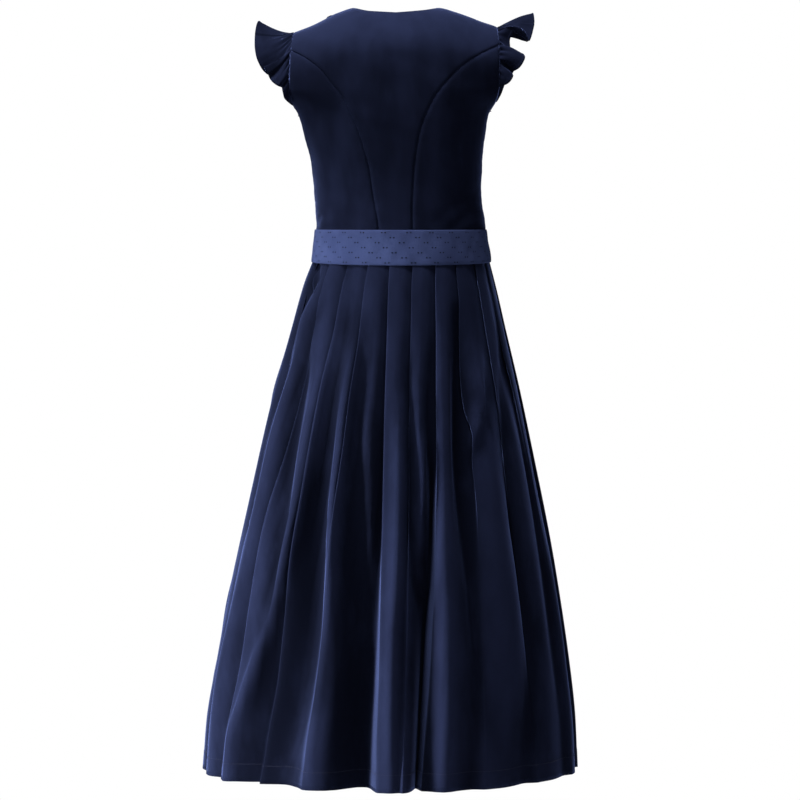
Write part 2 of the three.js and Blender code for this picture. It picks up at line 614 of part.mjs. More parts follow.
// A button is a low dome on a short shank, turned about its own axis.
function addButton(number) {
  const profile = [[0, 0], [buttonShank, 0], [buttonShank, buttonStand], [buttonRadius, buttonStand]];
  for (const turn of shares(4)) {
    const angle = (turn * Math.PI) / 2;
    const height = buttonStand + buttonRim + (buttonDome - buttonRim) * Math.sin(angle);
    profile.push([buttonRadius * Math.cos(angle), height]);
  }
  const outline = profile.map(([radius, height]) => new THREE.Vector2(radius, height));
  const z = buttonTop - (number - 1) * buttonPitch;
  const seat = onBodice(180, z, lapLift);
  const above = onBodice(180, z + 1, lapLift);
  const outwards = new THREE.Vector3(0, -(above.z - seat.z), above.y - seat.y).normalize();
  const button = addPiece(`button_${number}`, new THREE.LatheGeometry(outline, 14), horn);
  button.quaternion.setFromUnitVectors(new THREE.Vector3(0, 1, 0), outwards);
  button.position.copy(seat).addScaledVector(outwards, buttonSeat);
}

addPiece('bodice_back_centre', backCentre(), velvet);
for (const [name, side] of [['left', 1], ['right', -1]]) {
  addPiece(`bodice_back_side_${name}`, sidePanel(backSeam, side, true), velvet);
  addPiece(`bodice_front_side_${name}`, sidePanel(frontSeam, side, false), velvet);
  addPiece(`bodice_front_${name}`, frontPanel(side), velvet);
}
addPiece('sleeve_ruffle_left', ruffle(1, ruffleLeft, ruffleEnds.left), velvet);
addPiece('sleeve_ruffle_right', ruffle(-1, ruffleRight, ruffleEnds.right), velvet);
addPiece('skirt_back', skirtHalf(0, 12), velvet);
addPiece('skirt_front', skirtHalf(12, 12), velvet);
addPiece('apron_waistband', waistband(), cotton);
addPiece('apron_panel', apronPanel(), cotton);
for (let number = 1; number <= buttonCount; number++) {
  addButton(number);
}

export default dress;
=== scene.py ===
"""A velvet dirndl with ruffled cap sleeves, a knife-pleated skirt and a dotted cotton apron.

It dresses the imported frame: each piece of cloth is a thin shell on the form of its solid.
Sizes are in millimetres and become metres when a mesh is made, apart from those of the dots,
threads, stitches and studio, which are in metres. +Z is up, the front faces -Y and +X is the
wearer's left. Angles round the form are measured from the centre back, in degrees.
"""

import math
from functools import partial

import bpy
import numpy as np
from bpy.props import FloatProperty, FloatVectorProperty, IntProperty, PointerProperty
from bpy.types import Operator, Panel, PropertyGroup
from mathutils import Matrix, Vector


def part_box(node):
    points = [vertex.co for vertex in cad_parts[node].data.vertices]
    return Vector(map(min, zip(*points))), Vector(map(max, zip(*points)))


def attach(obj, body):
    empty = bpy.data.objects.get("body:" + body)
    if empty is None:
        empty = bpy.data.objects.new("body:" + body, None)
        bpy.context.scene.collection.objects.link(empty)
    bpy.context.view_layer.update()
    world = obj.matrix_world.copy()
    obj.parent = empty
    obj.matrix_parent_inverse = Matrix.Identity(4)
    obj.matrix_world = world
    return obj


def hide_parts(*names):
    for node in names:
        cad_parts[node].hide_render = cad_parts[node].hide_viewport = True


bl_info = {
    "name": "Velvet dirndl",
    "version": (1, 0, 0),
    "blender": (4, 5, 0),
    "location": "3D View > Sidebar > Dirndl",
    "description": "Makes a velvet dirndl and its studio",
    "category": "Object",
}

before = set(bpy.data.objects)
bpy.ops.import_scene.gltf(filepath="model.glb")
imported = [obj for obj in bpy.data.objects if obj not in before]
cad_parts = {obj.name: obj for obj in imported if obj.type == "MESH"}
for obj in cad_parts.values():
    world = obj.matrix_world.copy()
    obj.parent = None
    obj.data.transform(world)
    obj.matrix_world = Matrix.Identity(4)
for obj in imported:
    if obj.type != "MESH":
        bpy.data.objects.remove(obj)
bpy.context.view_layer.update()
MM = 0.001
BODY = "root"


# Tables and curves


def table(names, *rows):
    """A table as one array for each named column."""
    return {name: np.array(column, float) for name, column in zip(names.split(), zip(*rows))}


def curve(rows, at, column):
    """A smooth curve through two columns of a table, that never swings past its rows."""
    order = np.argsort(rows[at])
    x, y = rows[at][order], rows[column][order]
    slope = np.diff(y) / np.diff(x)
    before, after = np.r_[slope[0], slope], np.r_[slope, slope[-1]]
    total = np.where(before * after > 0, before + after, 1)
    tangent = np.where(before * after > 0, 2 * before * after / total, 0)

    def value(v):
        v = np.asarray(v, float)
        i = np.clip(np.searchsorted(x, v, side="right") - 1, 0, len(x) - 2)
        step = x[i + 1] - x[i]
        t = np.clip((v - x[i]) / step, 0, 1)
        bend = step * (tangent[i] * (1 - t) ** 2 * t - tangent[i + 1] * (1 - t) * t * t)
        return y[i] + (y[i + 1] - y[i]) * t * t * (3 - 2 * t) + bend

    return value


def smoothstep(v, low, high):
    t = np.clip((np.asarray(v, float) - low) / (high - low), 0, 1)
    return t * t * (3 - 2 * t)


def lerp(a, b, t):
    return a + (b - a) * t


def ripple(u, v, seed, scale):
    """Soft uneven waves between about -1 and 1, the same on each run."""
    rng = np.random.default_rng(seed)
    total = 0
    for octave in range(5):
        turn, phase = rng.uniform(0, 2 * math.pi, 2)
        wave = (np.cos(turn) * u + np.sin(turn) * v) / (scale * 0.78**octave)
        total = total + np.sin(2 * math.pi * wave + phase + 1.3 * np.sin(wave * 1.7 + octave))
    return total / 3.2


# The form, repeated from the part's own sizes

WAIST = -386
HEM = -1174
UNDERARM = -158
NECK_HALF = 66.5
SHOULDER_HALF = 158
SIDE_LINE = -8
SHOULDER_TILT = -0.027
SHOULDER_ROUND = 75
CUP = {"height": 20, "out": 72, "z": -205, "spread": 46}
# How far each cloth passes the line of a side or shoulder seam, so that no light shows between them
SEAM_OVERLAP = 0.12

LEVEL_COLUMNS = "z half centre back front square"
BODICE_LEVELS = table(
    LEVEL_COLUMNS,
    (-386, 134.0, -5, 91, 113, 2.15), (-338, 131.5, -4, 89, 112, 2.15), (-285, 129.5, 0, 90, 114, 2.2),
    (-237, 132.5, 2, 93, 119, 2.25), (-191, 140.0, 5, 96, 121, 2.3), (-158, 149.0, 6, 97, 118, 2.35),
    (-120, 180.0, 6, 96, 110, 2.4), (-70, 185.0, 5, 93, 99, 2.4), (10, 185.0, 3, 86, 84, 2.4),
)
SKIRT_LEVELS = table(
    LEVEL_COLUMNS,
    (-1174, 293.0, 12, 251, 250, 2.0), (-1100, 288.0, 11, 247, 246, 2.0),
    (-1006, 274.0, 8, 238, 238, 2.0), (-866, 251.0, 5.5, 216, 220, 2.0),
    (-725, 222.0, 3.2, 186, 196, 2.0), (-585, 190.6, 1.6, 150, 166, 2.0),
    (-492, 166.5, -0.7, 122, 142, 2.05), (-423, 149.0, -2.2, 104, 126, 2.1),
    (-386, 137.0, -4.6, 93, 115, 2.15),
)
SHOULDER_SLOPE = table(
    "out z", (0, 8), (66.5, 4), (90, -2.5), (112, -12), (130, -20), (148, -26.5), (158, -30)
)
BACK_NECK = table("out z", (0, -5), (40, -2), (66.5, 4))
FRONT_NECK = table("out z", (0, -132), (24, -130), (44, -112), (56, -76), (63, -34), (66.5, 4))
ARMHOLE_EDGE = table(
    "z out",
    (-158, 149), (-150, 153), (-144, 156), (-131, 160), (-119, 162), (-100, 161), (-64, 161),
    (-30, 158),
)
BACK_SEAM = table(
    "z out shift",
    (-386, 24, 7.5), (-332, 26, 7.5), (-282, 30.5, 7.5), (-247, 34, 7.5), (-217, 39.5, 7.5),
    (-189, 46.5, 7.5), (-160, 58, 7.5), (-134, 71.5, 7), (-112, 89, 6), (-91, 108, 4), (-72, 134, 1.5),
    (-58, 160.9, 0),
)
FRONT_SEAM = table(
    "z out shift",
    (-386, 50, 0), (-345, 55, 0), (-305, 60, 0), (-270, 65.5, 0), (-237, 71.5, 0), (-205, 76, 0),
    (-180, 81, 0), (-158, 88.5, 0), (-138, 100, 0), (-118, 116, 0), (-97, 139, 0), (-78, 160.9, 0),
)


def level_curves(levels):
    return {column: curve(levels, "z", column) for column in LEVEL_COLUMNS.split()[1:]}


FORM = level_curves(BODICE_LEVELS)
HOOP = level_curves(SKIRT_LEVELS)
shoulder_at = curve(SHOULDER_SLOPE, "out", "z")
armhole_at = curve(ARMHOLE_EDGE, "z", "out")
SHOULDER_END = -30


def tilt_at(x):
    """How much lower or higher the tilted shoulder lies at a place. The neck stays level."""
    return SHOULDER_TILT * x * smoothstep(np.abs(x), 60, 130)


def shoulder_height(x):
    return shoulder_at(np.abs(x - FORM["centre"](0))) + tilt_at(x)


def on_section(levels, angle, z, out=0):
    """Points of a section: an ellipse made a little square, with its own depth at front and back."""
    sine, cosine = np.sin(np.radians(angle)), np.cos(np.radians(angle))
    power = 2 / levels["square"](z)
    depth = np.where(cosine > 0, levels["back"](z) - SIDE_LINE, levels["front"](z) + SIDE_LINE)
    x = levels["centre"](z) + (levels["half"](z) + out) * np.sign(sine) * np.abs(sine) ** power
    y = SIDE_LINE + (depth + out) * np.sign(cosine) * np.abs(cosine) ** power
    return np.stack(np.broadcast_arrays(x, y, z), -1).astype(float)


def angle_of(out, z):
    """The angle on the back half of a place that lies that far from the centre."""
    share = np.clip(np.abs(out) / FORM["half"](z), 0, 1)
    return np.sign(out) * np.degrees(np.arcsin(share ** (FORM["square"](z) / 2)))


def on_bodice(angle, z, out=0):
    """Points of the bodice's outer face. It rounds over the shoulder, and the front has its cups."""
    point = on_section(FORM, angle, z, out)
    is_back = np.cos(np.radians(angle)) > 0
    side = (np.abs(point[..., 0] - FORM["centre"](z)) - CUP["out"]) / CUP["spread"]
    up = (np.asarray(z, float) - CUP["z"]) / CUP["spread"]
    at_side_seam = smoothstep(np.abs(np.sin(np.radians(angle))), 0.85, 1)
    cup = CUP["height"] * (1 - at_side_seam) * np.exp(-side * side - up * up)
    point[..., 1] -= np.where(is_back, 0, cup)
    drop = np.clip((shoulder_height(point[..., 0]) - z) / SHOULDER_ROUND, 0, 1)
    seam = np.where(is_back, -SEAM_OVERLAP, SEAM_OVERLAP)
    point[..., 1] = point[..., 1] * np.sqrt(1 - (1 - drop) ** 2) + seam
    return point


def share_of(height):
    return (height - WAIST) / (SHOULDER_END - WAIST)


def height_on(side, height):
    """A height of the tables on the wearer's left or right, where the shoulder is lower or higher."""
    shoulder = shoulder_height(side * SHOULDER_HALF + FORM["centre"](0))
    return lerp(WAIST, shoulder, share_of(height))


# Meshes


def grid_normals(grid):
    """The outward direction at each point of a grid whose columns run right and rows run up."""
    across = np.gradient(grid, axis=0)
    along = np.gradient(grid, axis=1)
    normal = np.cross(across, along)
    return normal / np.maximum(np.linalg.norm(normal, axis=-1, keepdims=True), 1e-9)


def grid_lengths(grid):
    """How far each point lies along its row and up its column, in millimetres of cloth."""
    across = np.linalg.norm(np.diff(grid, axis=0), axis=-1)
    along = np.linalg.norm(np.diff(grid, axis=1), axis=-1)
    width = np.vstack([np.zeros(grid.shape[1]), np.cumsum(across, 0)])
    height = np.hstack([np.zeros((grid.shape[0], 1)), np.cumsum(along, 1)])
    return width, height


def push_out(grid, distance):
    return grid + grid_normals(grid) * np.asarray(distance)[..., None]


def add_object(name, data):
    item = bpy.data.objects.new(name, data)
    bpy.context.scene.collection.objects.link(item)
    return item


def cloth_object(name, grid, thickness, material, uv=None, nap=None):
    """A grid of points made one piece of cloth with a wall, its rows running up.

    The nap tells how light the velvet is drawn at each point, from 0 to 1: painted light and shade.
    """
    columns, rows = grid.shape[:2]
    index = np.arange(columns * rows).reshape(columns, rows)
    faces = np.stack([index[:-1, :-1], index[1:, :-1], index[1:, 1:], index[:-1, 1:]], -1)
    mesh = bpy.data.meshes.new(name)
    mesh.from_pydata((grid.reshape(-1, 3) * MM).tolist(), [], faces.reshape(-1, 4).tolist())
    if uv is not None:
        layer = mesh.uv_layers.new(name="cloth")
        corner = faces.reshape(-1)
        layer.data.foreach_set("uv", (uv.reshape(-1, 2)[corner] * MM).ravel())
    if nap is not None:
        mesh.attributes.new("nap", "FLOAT", "POINT").data.foreach_set("value", nap.ravel())
    mesh.shade_smooth()
    mesh.materials.append(material)
    piece = add_object(name, mesh)
    wall = piece.modifiers.new("wall", "SOLIDIFY")
    wall.thickness = thickness * MM
    wall.offset = -1
    return piece


def cloth_for(node, slot, grid, wall, kind, uv=None, nap=None):
    """A piece of cloth that stands for one CAD node."""
    piece = cloth_object(node + "_cloth", grid, wall, finish_of(kind), uv, nap)
    dress_node(piece, slot, node)
    return piece


def dress_node(piece, slot, *nodes):
    """The piece is attached to the one body and stands for its CAD nodes, which are hidden. The slot is not
    used.
    """
    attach(piece, BODY)
    if nodes:
        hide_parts(*nodes)


# Materials


def new_material(name):
    material = bpy.data.materials.new(name)
    material.use_nodes = True
    material.node_tree.nodes.clear()
    return material, material.node_tree


def add_node(tree, kind, **settings):
    node = tree.nodes.new(kind)
    for key, value in settings.items():
        setattr(node, key, value)
    return node


def object_place(tree):
    return add_node(tree, "ShaderNodeTexCoord").outputs["Object"]


def noise(tree, vector, scale, detail=2.0, roughness=0.5):
    node = add_node(tree, "ShaderNodeTexNoise")
    tree.links.new(vector, node.inputs["Vector"])
    node.inputs["Scale"].default_value = scale
    node.inputs["Detail"].default_value = detail
    node.inputs["Roughness"].default_value = roughness
    return node.outputs["Fac"]


def math_node(tree, operation, a, b=None, clamp=False):
    node = add_node(tree, "ShaderNodeMath", operation=operation, use_clamp=clamp)
    for socket, value in zip(node.inputs, (a, b)):
        if isinstance(value, bpy.types.NodeSocket):
            tree.links.new(value, socket)
        elif value is not None:
            socket.default_value = value
    return node.outputs[0]


def span(tree, value, low, high, to_low=0.0, to_high=1.0):
    node = add_node(tree, "ShaderNodeMapRange", interpolation_type="SMOOTHSTEP")
    tree.links.new(value, node.inputs["Value"])
    for key, number in zip(("From Min", "From Max", "To Min", "To Max"), (low, high, to_low, to_high)):
        node.inputs[key].default_value = number
    return node.outputs[0]


def mix_colors(tree, factor, a, b):
    node = add_node(tree, "ShaderNodeMix", data_type="RGBA")
    tree.links.new(factor, node.inputs["Factor"])
    for key, value in (("A", a), ("B", b)):
        socket = next(s for s in node.inputs if s.name == key and s.type == "RGBA")
        if isinstance(value, bpy.types.NodeSocket):
            tree.links.new(value, socket)
        else:
            socket.default_value = (*value, 1)
    return next(s for s in node.outputs if s.type == "RGBA")


def bump(tree, height, strength, distance, normal=None):
    node = add_node(tree, "ShaderNodeBump")
    tree.links.new(height, node.inputs["Height"])
    node.inputs["Strength"].default_value = strength
    node.inputs["Distance"].default_value = distance
    if normal is not None:
        tree.links.new(normal, node.inputs["Normal"])
    return node.outputs[0]


def surface(tree, color, normal=None, roughness=0.8, sheen=(0.0, 0.3, (1, 1, 1)), gloss=0.2):
    """The shader. Its sheen is a weight, a roughness and a tint."""
    shader = add_node(tree, "ShaderNodeBsdfPrincipled")
    tree.links.new(color, shader.inputs["Base Color"])
    if normal is not None:
        tree.links.new(normal, shader.inputs["Normal"])
    values = {"Roughness": roughness, "Specular IOR Level": gloss, "Sheen Weight": sheen[0]}
    values |= {"Sheen Roughness": sheen[1], "Sheen Tint": (*sheen[2], 1)}
    for key, value in values.items():
        shader.inputs[key].default_value = value
    out = add_node(tree, "ShaderNodeOutputMaterial")
    tree.links.new(shader.outputs[0], out.inputs["Surface"])


def velvet(name, settings):
    """Cotton velvet: a dark pile that scatters blue light, with random patches of brushed nap, drawn
    lighter or darker by the painted light and shade of the nap attribute.
    """
    material, tree = new_material(name)
    place = object_place(tree)
    stretch = add_node(tree, "ShaderNodeMapping")
    tree.links.new(place, stretch.inputs["Vector"])
    stretch.inputs["Scale"].default_value = (1, 1, 0.35)
    brushed = noise(tree, stretch.outputs[0], 22, 4, 0.6)
    uneven = span(tree, brushed, 0.3, 0.75, -0.22, 0.22)
    # The nap attribute holds painted light and shade; the random brushed patches are added to it.
    up = add_node(tree, "ShaderNodeAttribute", attribute_name="nap").outputs["Fac"]
    painted_light_and_patches = math_node(tree, "ADD", up, uneven, clamp=True)
    grain = noise(tree, place, 900, 2, 0.7)
    pile = span(tree, grain, 0.25, 0.75)
    body = mix_colors(tree, painted_light_and_patches, settings.velvet_dark, settings.velvet_color)
    color = mix_colors(tree, math_node(tree, "MULTIPLY", pile, 0.35), body, settings.velvet_dark)
    soft = bump(tree, brushed, 0.25, 0.002)
    fine = bump(tree, grain, 0.35, 0.0004, soft)
    sheen = (settings.sheen, settings.sheen_roughness, tuple(settings.velvet_sheen_tint))
    surface(tree, color, fine, 0.9, sheen, 0.0)
    return material


def dot_mask(tree, along, up, settings):
    """Woven pairs of small dots in rows that each step to one side."""
    work = partial(math_node, tree)
    row = work("FLOOR", work("DIVIDE", up, settings.dot_row))
    shifted = work("ADD", along, work("MULTIPLY", row, settings.dot_shift))
    cell = work("PINGPONG", shifted, settings.dot_pitch / 2)
    beside = work("ABSOLUTE", work("SUBTRACT", cell, settings.dot_pair / 2))
    within = work("MODULO", up, settings.dot_row)
    above = work("SUBTRACT", work("ABSOLUTE", within), settings.dot_row / 2)
    wide = work("POWER", work("DIVIDE", beside, settings.dot_size / 2), 2.0)
    high = work("POWER", work("DIVIDE", above, settings.dot_size / 2.3), 2.0)
    return span(tree, work("ADD", wide, high), 0.7, 1.3, 1.0, 0.0)


def dotted_cotton(name, settings):
    """Plain-woven cotton with a woven dot, its threads raised."""
    material, tree = new_material(name)
    layer = add_node(tree, "ShaderNodeUVMap", uv_map="cloth")
    split = add_node(tree, "ShaderNodeSeparateXYZ")
    tree.links.new(layer.outputs[0], split.inputs[0])
    along, up = split.outputs["X"], split.outputs["Y"]
    dots = dot_mask(tree, along, up, settings)
    thread = 2 * math.pi / settings.thread_pitch
    warp = math_node(tree, "SINE", math_node(tree, "MULTIPLY", along, thread))
    weft = math_node(tree, "SINE", math_node(tree, "MULTIPLY", up, thread))
    weave = math_node(tree, "MULTIPLY", warp, weft)
    place = object_place(tree)
    slub = noise(tree, place, 260, 3, 0.6)
    wear = span(tree, noise(tree, place, 18, 3, 0.5), 0.35, 0.7)
    plain = mix_colors(tree, wear, settings.cotton_dark, settings.cotton_color)
    threads = mix_colors(tree, span(tree, slub, 0.3, 0.75, 0.0, 0.5), plain, settings.cotton_dark)
    color = mix_colors(tree, dots, threads, settings.dot_color)
    threads_up = math_node(tree, "MULTIPLY", weave, 0.35)
    raised = math_node(tree, "ADD", threads_up, math_node(tree, "MULTIPLY", dots, 1.5))
    surface(tree, color, bump(tree, raised, 0.4, 0.00025), 0.8, (0.05, 0.4, (0.1, 0.14, 0.3)), 0.0)
    return material


def plain_finish(name, color, roughness, gloss, grain_scale):
    """A hard or smooth finish with a fine grain."""
    material, tree = new_material(name)
    place = object_place(tree)
    grain = noise(tree, place, grain_scale, 4, 0.6)
    lighter = tuple(min(1.0, channel * 2.2) for channel in color)
    shade = mix_colors(tree, span(tree, grain, 0.35, 0.7), tuple(color), lighter)
    surface(tree, shade, bump(tree, grain, 0.1, 0.0002), roughness, gloss=gloss)
    return material


def finish_of(kind):
    """The shared materials, each made once."""
    scene = bpy.context.scene
    made = bpy.data.materials.get(kind)
    if made:
        return made
    if kind == "navy_velvet":
        return velvet(kind, scene.dirndl_cloth)
    if kind == "dotted_cotton":
        return dotted_cotton(kind, scene.dirndl_apron)
    if kind == "dark_button":
        return plain_finish(kind, (0.004, 0.005, 0.012), 0.42, 0.25, 400)
    return plain_finish(kind, (0.003, 0.0036, 0.008), 0.7, 0.05, 3000)


# What a user may change


class DirndlCloth(PropertyGroup):
    # The velvet is drawn between these two colours by the painted light and shade of the nap attribute and
    # by random patches of brushed nap.
    velvet_color: FloatVectorProperty(
        name="Velvet", description="Nap that stands up", subtype="COLOR", default=(0.0036, 0.0048, 0.0122)
    )
    velvet_dark: FloatVectorProperty(
        name="Velvet shade",
        description="Nap that lies away",
        subtype="COLOR",
        default=(0.0010, 0.0013, 0.0031),
    )
    velvet_sheen_tint: FloatVectorProperty(
        name="Sheen tint",
        description="Colour of the light that the nap scatters",
        subtype="COLOR",
        default=(0.085, 0.115, 0.28),
    )
    sheen: FloatProperty(name="Sheen", description="How much the nap scatters", default=0.45, min=0, max=1)
    sheen_roughness: FloatProperty(
        name="Nap", description="How upright the nap stands", default=0.3, min=0, max=1
    )
    bodice_wall: FloatProperty(
        name="Bodice velvet", description="Thickness in millimetres", default=1.5, min=0.5, max=3
    )
    skirt_wall: FloatProperty(
        name="Skirt velvet", description="Thickness in millimetres", default=1.0, min=0.5, max=3
    )
    ruffle_wall: FloatProperty(
        name="Ruffle velvet", description="Thickness in millimetres", default=1.1, min=0.5, max=3
    )
    seam_dip: FloatProperty(
        name="Seam depth",
        description="How far the cloth sinks at a seam, in millimetres",
        default=1.5,
        min=0,
        max=3,
    )


class DirndlSkirt(PropertyGroup):
    rows: IntProperty(name="Rows", description="Rows of the skirt's mesh", default=116, min=30, max=200)
    steps: IntProperty(name="Steps", description="Points for each turn of a pleat", default=2, min=1, max=4)
    stack: FloatProperty(
        name="Stack",
        description="Three layers where a pleat is sewn in, in millimetres",
        default=4.4,
        min=3,
        max=9,
    )
    fold: FloatProperty(
        name="Folds",
        description="Depth of the long folds against the photograph's",
        default=2.2,
        min=0,
        max=3,
    )
    swell: FloatProperty(
        name="Swell", description="How much the pleats open on their way down", default=7, min=0, max=20
    )
    hem_depth: FloatProperty(
        name="Hem",
        description="From the edge to the hem's stitching, in millimetres",
        default=27,
        min=10,
        max=60,
    )


class DirndlApron(PropertyGroup):
    cotton_color: FloatVectorProperty(
        name="Cotton", description="Main colour", subtype="COLOR", default=(0.011, 0.0151, 0.0375)
    )
    cotton_dark: FloatVectorProperty(
        name="Cotton shade",
        description="Colour between threads",
        subtype="COLOR",
        default=(0.0086, 0.0118, 0.0302),
    )
    dot_color: FloatVectorProperty(
        name="Dot", description="Colour of the woven dots", subtype="COLOR", default=(0.0006, 0.0008, 0.002)
    )
    dot_pitch: FloatProperty(
        name="Dot pitch", description="Along a row", subtype="DISTANCE", default=0.0316, min=0.005, max=0.2
    )
    dot_row: FloatProperty(
        name="Row pitch", description="Between rows", subtype="DISTANCE", default=0.0071, min=0.003, max=0.1
    )
    dot_shift: FloatProperty(
        name="Row step",
        description="How far each row steps aside",
        subtype="DISTANCE",
        default=0.0113,
        max=0.1,
    )
    dot_pair: FloatProperty(
        name="Pair", description="Between the dots of a pair", subtype="DISTANCE", default=0.0046, max=0.02
    )
    dot_size: FloatProperty(
        name="Dot size", description="Across one dot", subtype="DISTANCE", default=0.0022, max=0.01
    )
    thread_pitch: FloatProperty(
        name="Threads", description="From thread to thread", subtype="DISTANCE", default=0.0009, max=0.01
    )
    wall: FloatProperty(name="Cotton", description="Thickness in millimetres", default=1.0, min=0.4, max=3)


class DirndlStage(PropertyGroup):
    distance: FloatProperty(
        name="Camera distance", description="From the dress", unit="LENGTH", default=5.6, min=2, max=20
    )
    camera_height: FloatProperty(
        name="Camera height", description="Above the origin", unit="LENGTH", default=-0.3, min=-2, max=2
    )
    key: FloatProperty(name="Key light", description="Power in watts", default=58, min=0, max=9000)
    ambient: FloatProperty(name="Ambient", description="Light from all round", default=0.2, min=0, max=2)
    fill: FloatProperty(name="Fill light", description="Power in watts", default=190, min=0, max=9000)


# The bodice

ROWS = 120


def row_heights(count):
    """Heights from waist to shoulder, close together where the cloth turns over the shoulder."""
    turn = SHOULDER_ROUND * 0.9
    even = np.linspace(WAIST, SHOULDER_END - turn, int(count * 0.72), endpoint=False)
    over = SHOULDER_END - turn * (1 - np.sin(np.linspace(0, math.pi / 2, count - len(even))))
    return np.concatenate([even, over])


def row_end(seam, side, height):
    """How far out a row ends: on the princess seam or, above that, on the armhole."""
    top = seam["z"].max()
    low = side * curve(seam, "z", "out")(height) + curve(seam, "z", "shift")(height)
    return np.where(height <= top, low, side * armhole_at(height))


# Soft troughs and ridges of the back, each from one place to another: across, up, how wide and how deep
BACK_CREASES = table(
    "x0 z0 x1 z1 width depth",
    (120, -316, 128, -334, 5, -2.2), (96, -322, 126, -330, 7, 1.2), (-70, -345, -124, -300, 9, -1.8),
    (-60, -322, -128, -272, 10, -1.4), (-92, -338, -132, -316, 8, 1.4), (70, -338, 122, -296, 11, -1.3),
    (150, -140, 118, -178, 12, -2.0), (-138, -142, -112, -176, 12, -1.8),
    (128, -150, 96, -205, 16, 1.4), (-122, -150, -88, -196, 15, 1.3), (-30, -60, -90, -90, 26, -1.2),
    (40, -58, 100, -86, 26, -1.2), (18, -300, 66, -350, 12, 1.0),
)
FRONT_CREASES = table(
    "x0 z0 x1 z1 width depth",
    (58, -250, 120, -236, 12, -1.6), (-58, -252, -120, -238, 12, -1.6), (96, -310, 126, -334, 8, -1.6),
    (-90, -304, -126, -330, 8, -1.8), (70, -290, 36, -340, 11, 1.2), (-70, -292, -40, -345, 11, 1.2),
)


def crease(grid, folds):
    """How far soft troughs and ridges move each point, in millimetres."""
    x, z = grid[..., 0], grid[..., 2]
    total = np.zeros(x.shape)
    for x0, z0, x1, z1, width, depth in zip(*(folds[key] for key in "x0 z0 x1 z1 width depth".split())):
        length = math.hypot(x1 - x0, z1 - z0)
        along = ((x - x0) * (x1 - x0) + (z - z0) * (z1 - z0)) / length**2
        off = ((x - x0) * (z1 - z0) - (z - z0) * (x1 - x0)) / length
        ends = smoothstep(along, -0.25, 0.3) * (1 - smoothstep(along, 0.7, 1.25))
        total += depth * ends * np.exp(-((off / width) ** 2))
    return total


def sink_at_seams(grid, left, right, settings):
    """The cloth sinks into the seam on a side that is sewn, with small puckers along it."""
    width, height = grid_lengths(grid)
    total = np.zeros(width.shape)
    for sewn, distance in ((left, width), (right, width[-1] - width)):
        if sewn:
            near = np.exp(-((distance / 2.6) ** 2))
            pucker = 0.22 * np.sin(height / 1.9 + 2 * np.sin(height / 13)) * np.exp(-distance / 7)
            total += pucker - settings.seam_dip * near
    return total


def finish_panel(name, angle, z, lift, folds, sewn, settings):
    grid = on_bodice(angle, z, lift)
    grid = push_out(grid, crease(grid, folds) + 0.5 * ripple(grid[..., 0], grid[..., 2], 7, 95))
    grid = push_out(grid, sink_at_seams(grid, *sewn, settings))
    # Painted light: the nap attribute makes the velvet lighter towards the shoulders, where the light from
    # above falls.
    nap = 0.3 + 0.7 * smoothstep(grid[..., 2], -110, -25)
    piece = cloth_for(name, "bodice_velvet", grid, settings.bodice_wall, "navy_velvet", nap=nap)


def back_centre_panel(settings):
    top_out = np.concatenate(
        [
            np.linspace(SHOULDER_HALF, NECK_HALF, 30, endpoint=False),
            np.linspace(NECK_HALF, -NECK_HALF, 46, endpoint=False),
            np.linspace(-NECK_HALF, -SHOULDER_HALF, 31),
        ]
    )[:, None]
    height = row_heights(ROWS)[None, :]
    x = top_out + FORM["centre"](0)
    neck = curve(BACK_NECK, "out", "z")(np.abs(top_out)) + tilt_at(x)
    top = np.where(np.abs(top_out) < NECK_HALF, neck, shoulder_height(x))
    z = lerp(WAIST, top, share_of(height))
    across = (SHOULDER_HALF - top_out) / (2 * SHOULDER_HALF)
    out = lerp(row_end(BACK_SEAM, 1, height), row_end(BACK_SEAM, -1, height), across)
    angle = angle_of(out, z)
    sewn = (True, True)
    finish_panel("bodice_back_centre", angle, z, 0, BACK_CREASES, sewn, settings)


def side_panel(name, seam, side, is_back, settings):
    across = np.linspace(0, 1, 46)[:, None]
    share = np.linspace(0, 1, ROWS)[None, :]
    seam_top = seam["z"].max()
    top_height = lerp(seam_top, UNDERARM, np.sin(across * math.pi / 2) ** 1.2)
    top = height_on(side, top_height)
    z = lerp(WAIST, top, share)
    seam_height = lerp(WAIST, seam_top, share)
    seam_z = height_on(side, seam_height)
    seam_angle = np.abs(angle_of(np.abs(row_end(seam, side, seam_height)), seam_z))
    level = lerp(seam_angle, 90, across)
    top_angle = np.abs(angle_of(armhole_at(top_height), top))
    level_at_top = lerp(angle_of(armhole_at(seam_top), height_on(side, seam_top)), 90, across)
    angle = np.minimum(level + (top_angle - level_at_top) * share**4, 89.99)
    angle = side * (angle if is_back else 180 - angle)
    if (side < 0) != is_back:
        angle, z = angle[::-1], z[::-1]
    folds = BACK_CREASES if is_back else FRONT_CREASES
    finish_panel(name, angle, z, 0, folds, (True, True), settings)


FRONT_LAP = 11
LAP_LIFT = 2.1


def front_out(side, seam, top_out, height):
    """How far out a place of a front lies. Its closing edge laps over the middle, its shoulder doesn't."""
    at_shoulder = smoothstep(share_of(height), 0.7, 1) * smoothstep(top_out, 40, NECK_HALF)
    return lerp(-side * FRONT_LAP * (1 - at_shoulder), seam, top_out / SHOULDER_HALF)


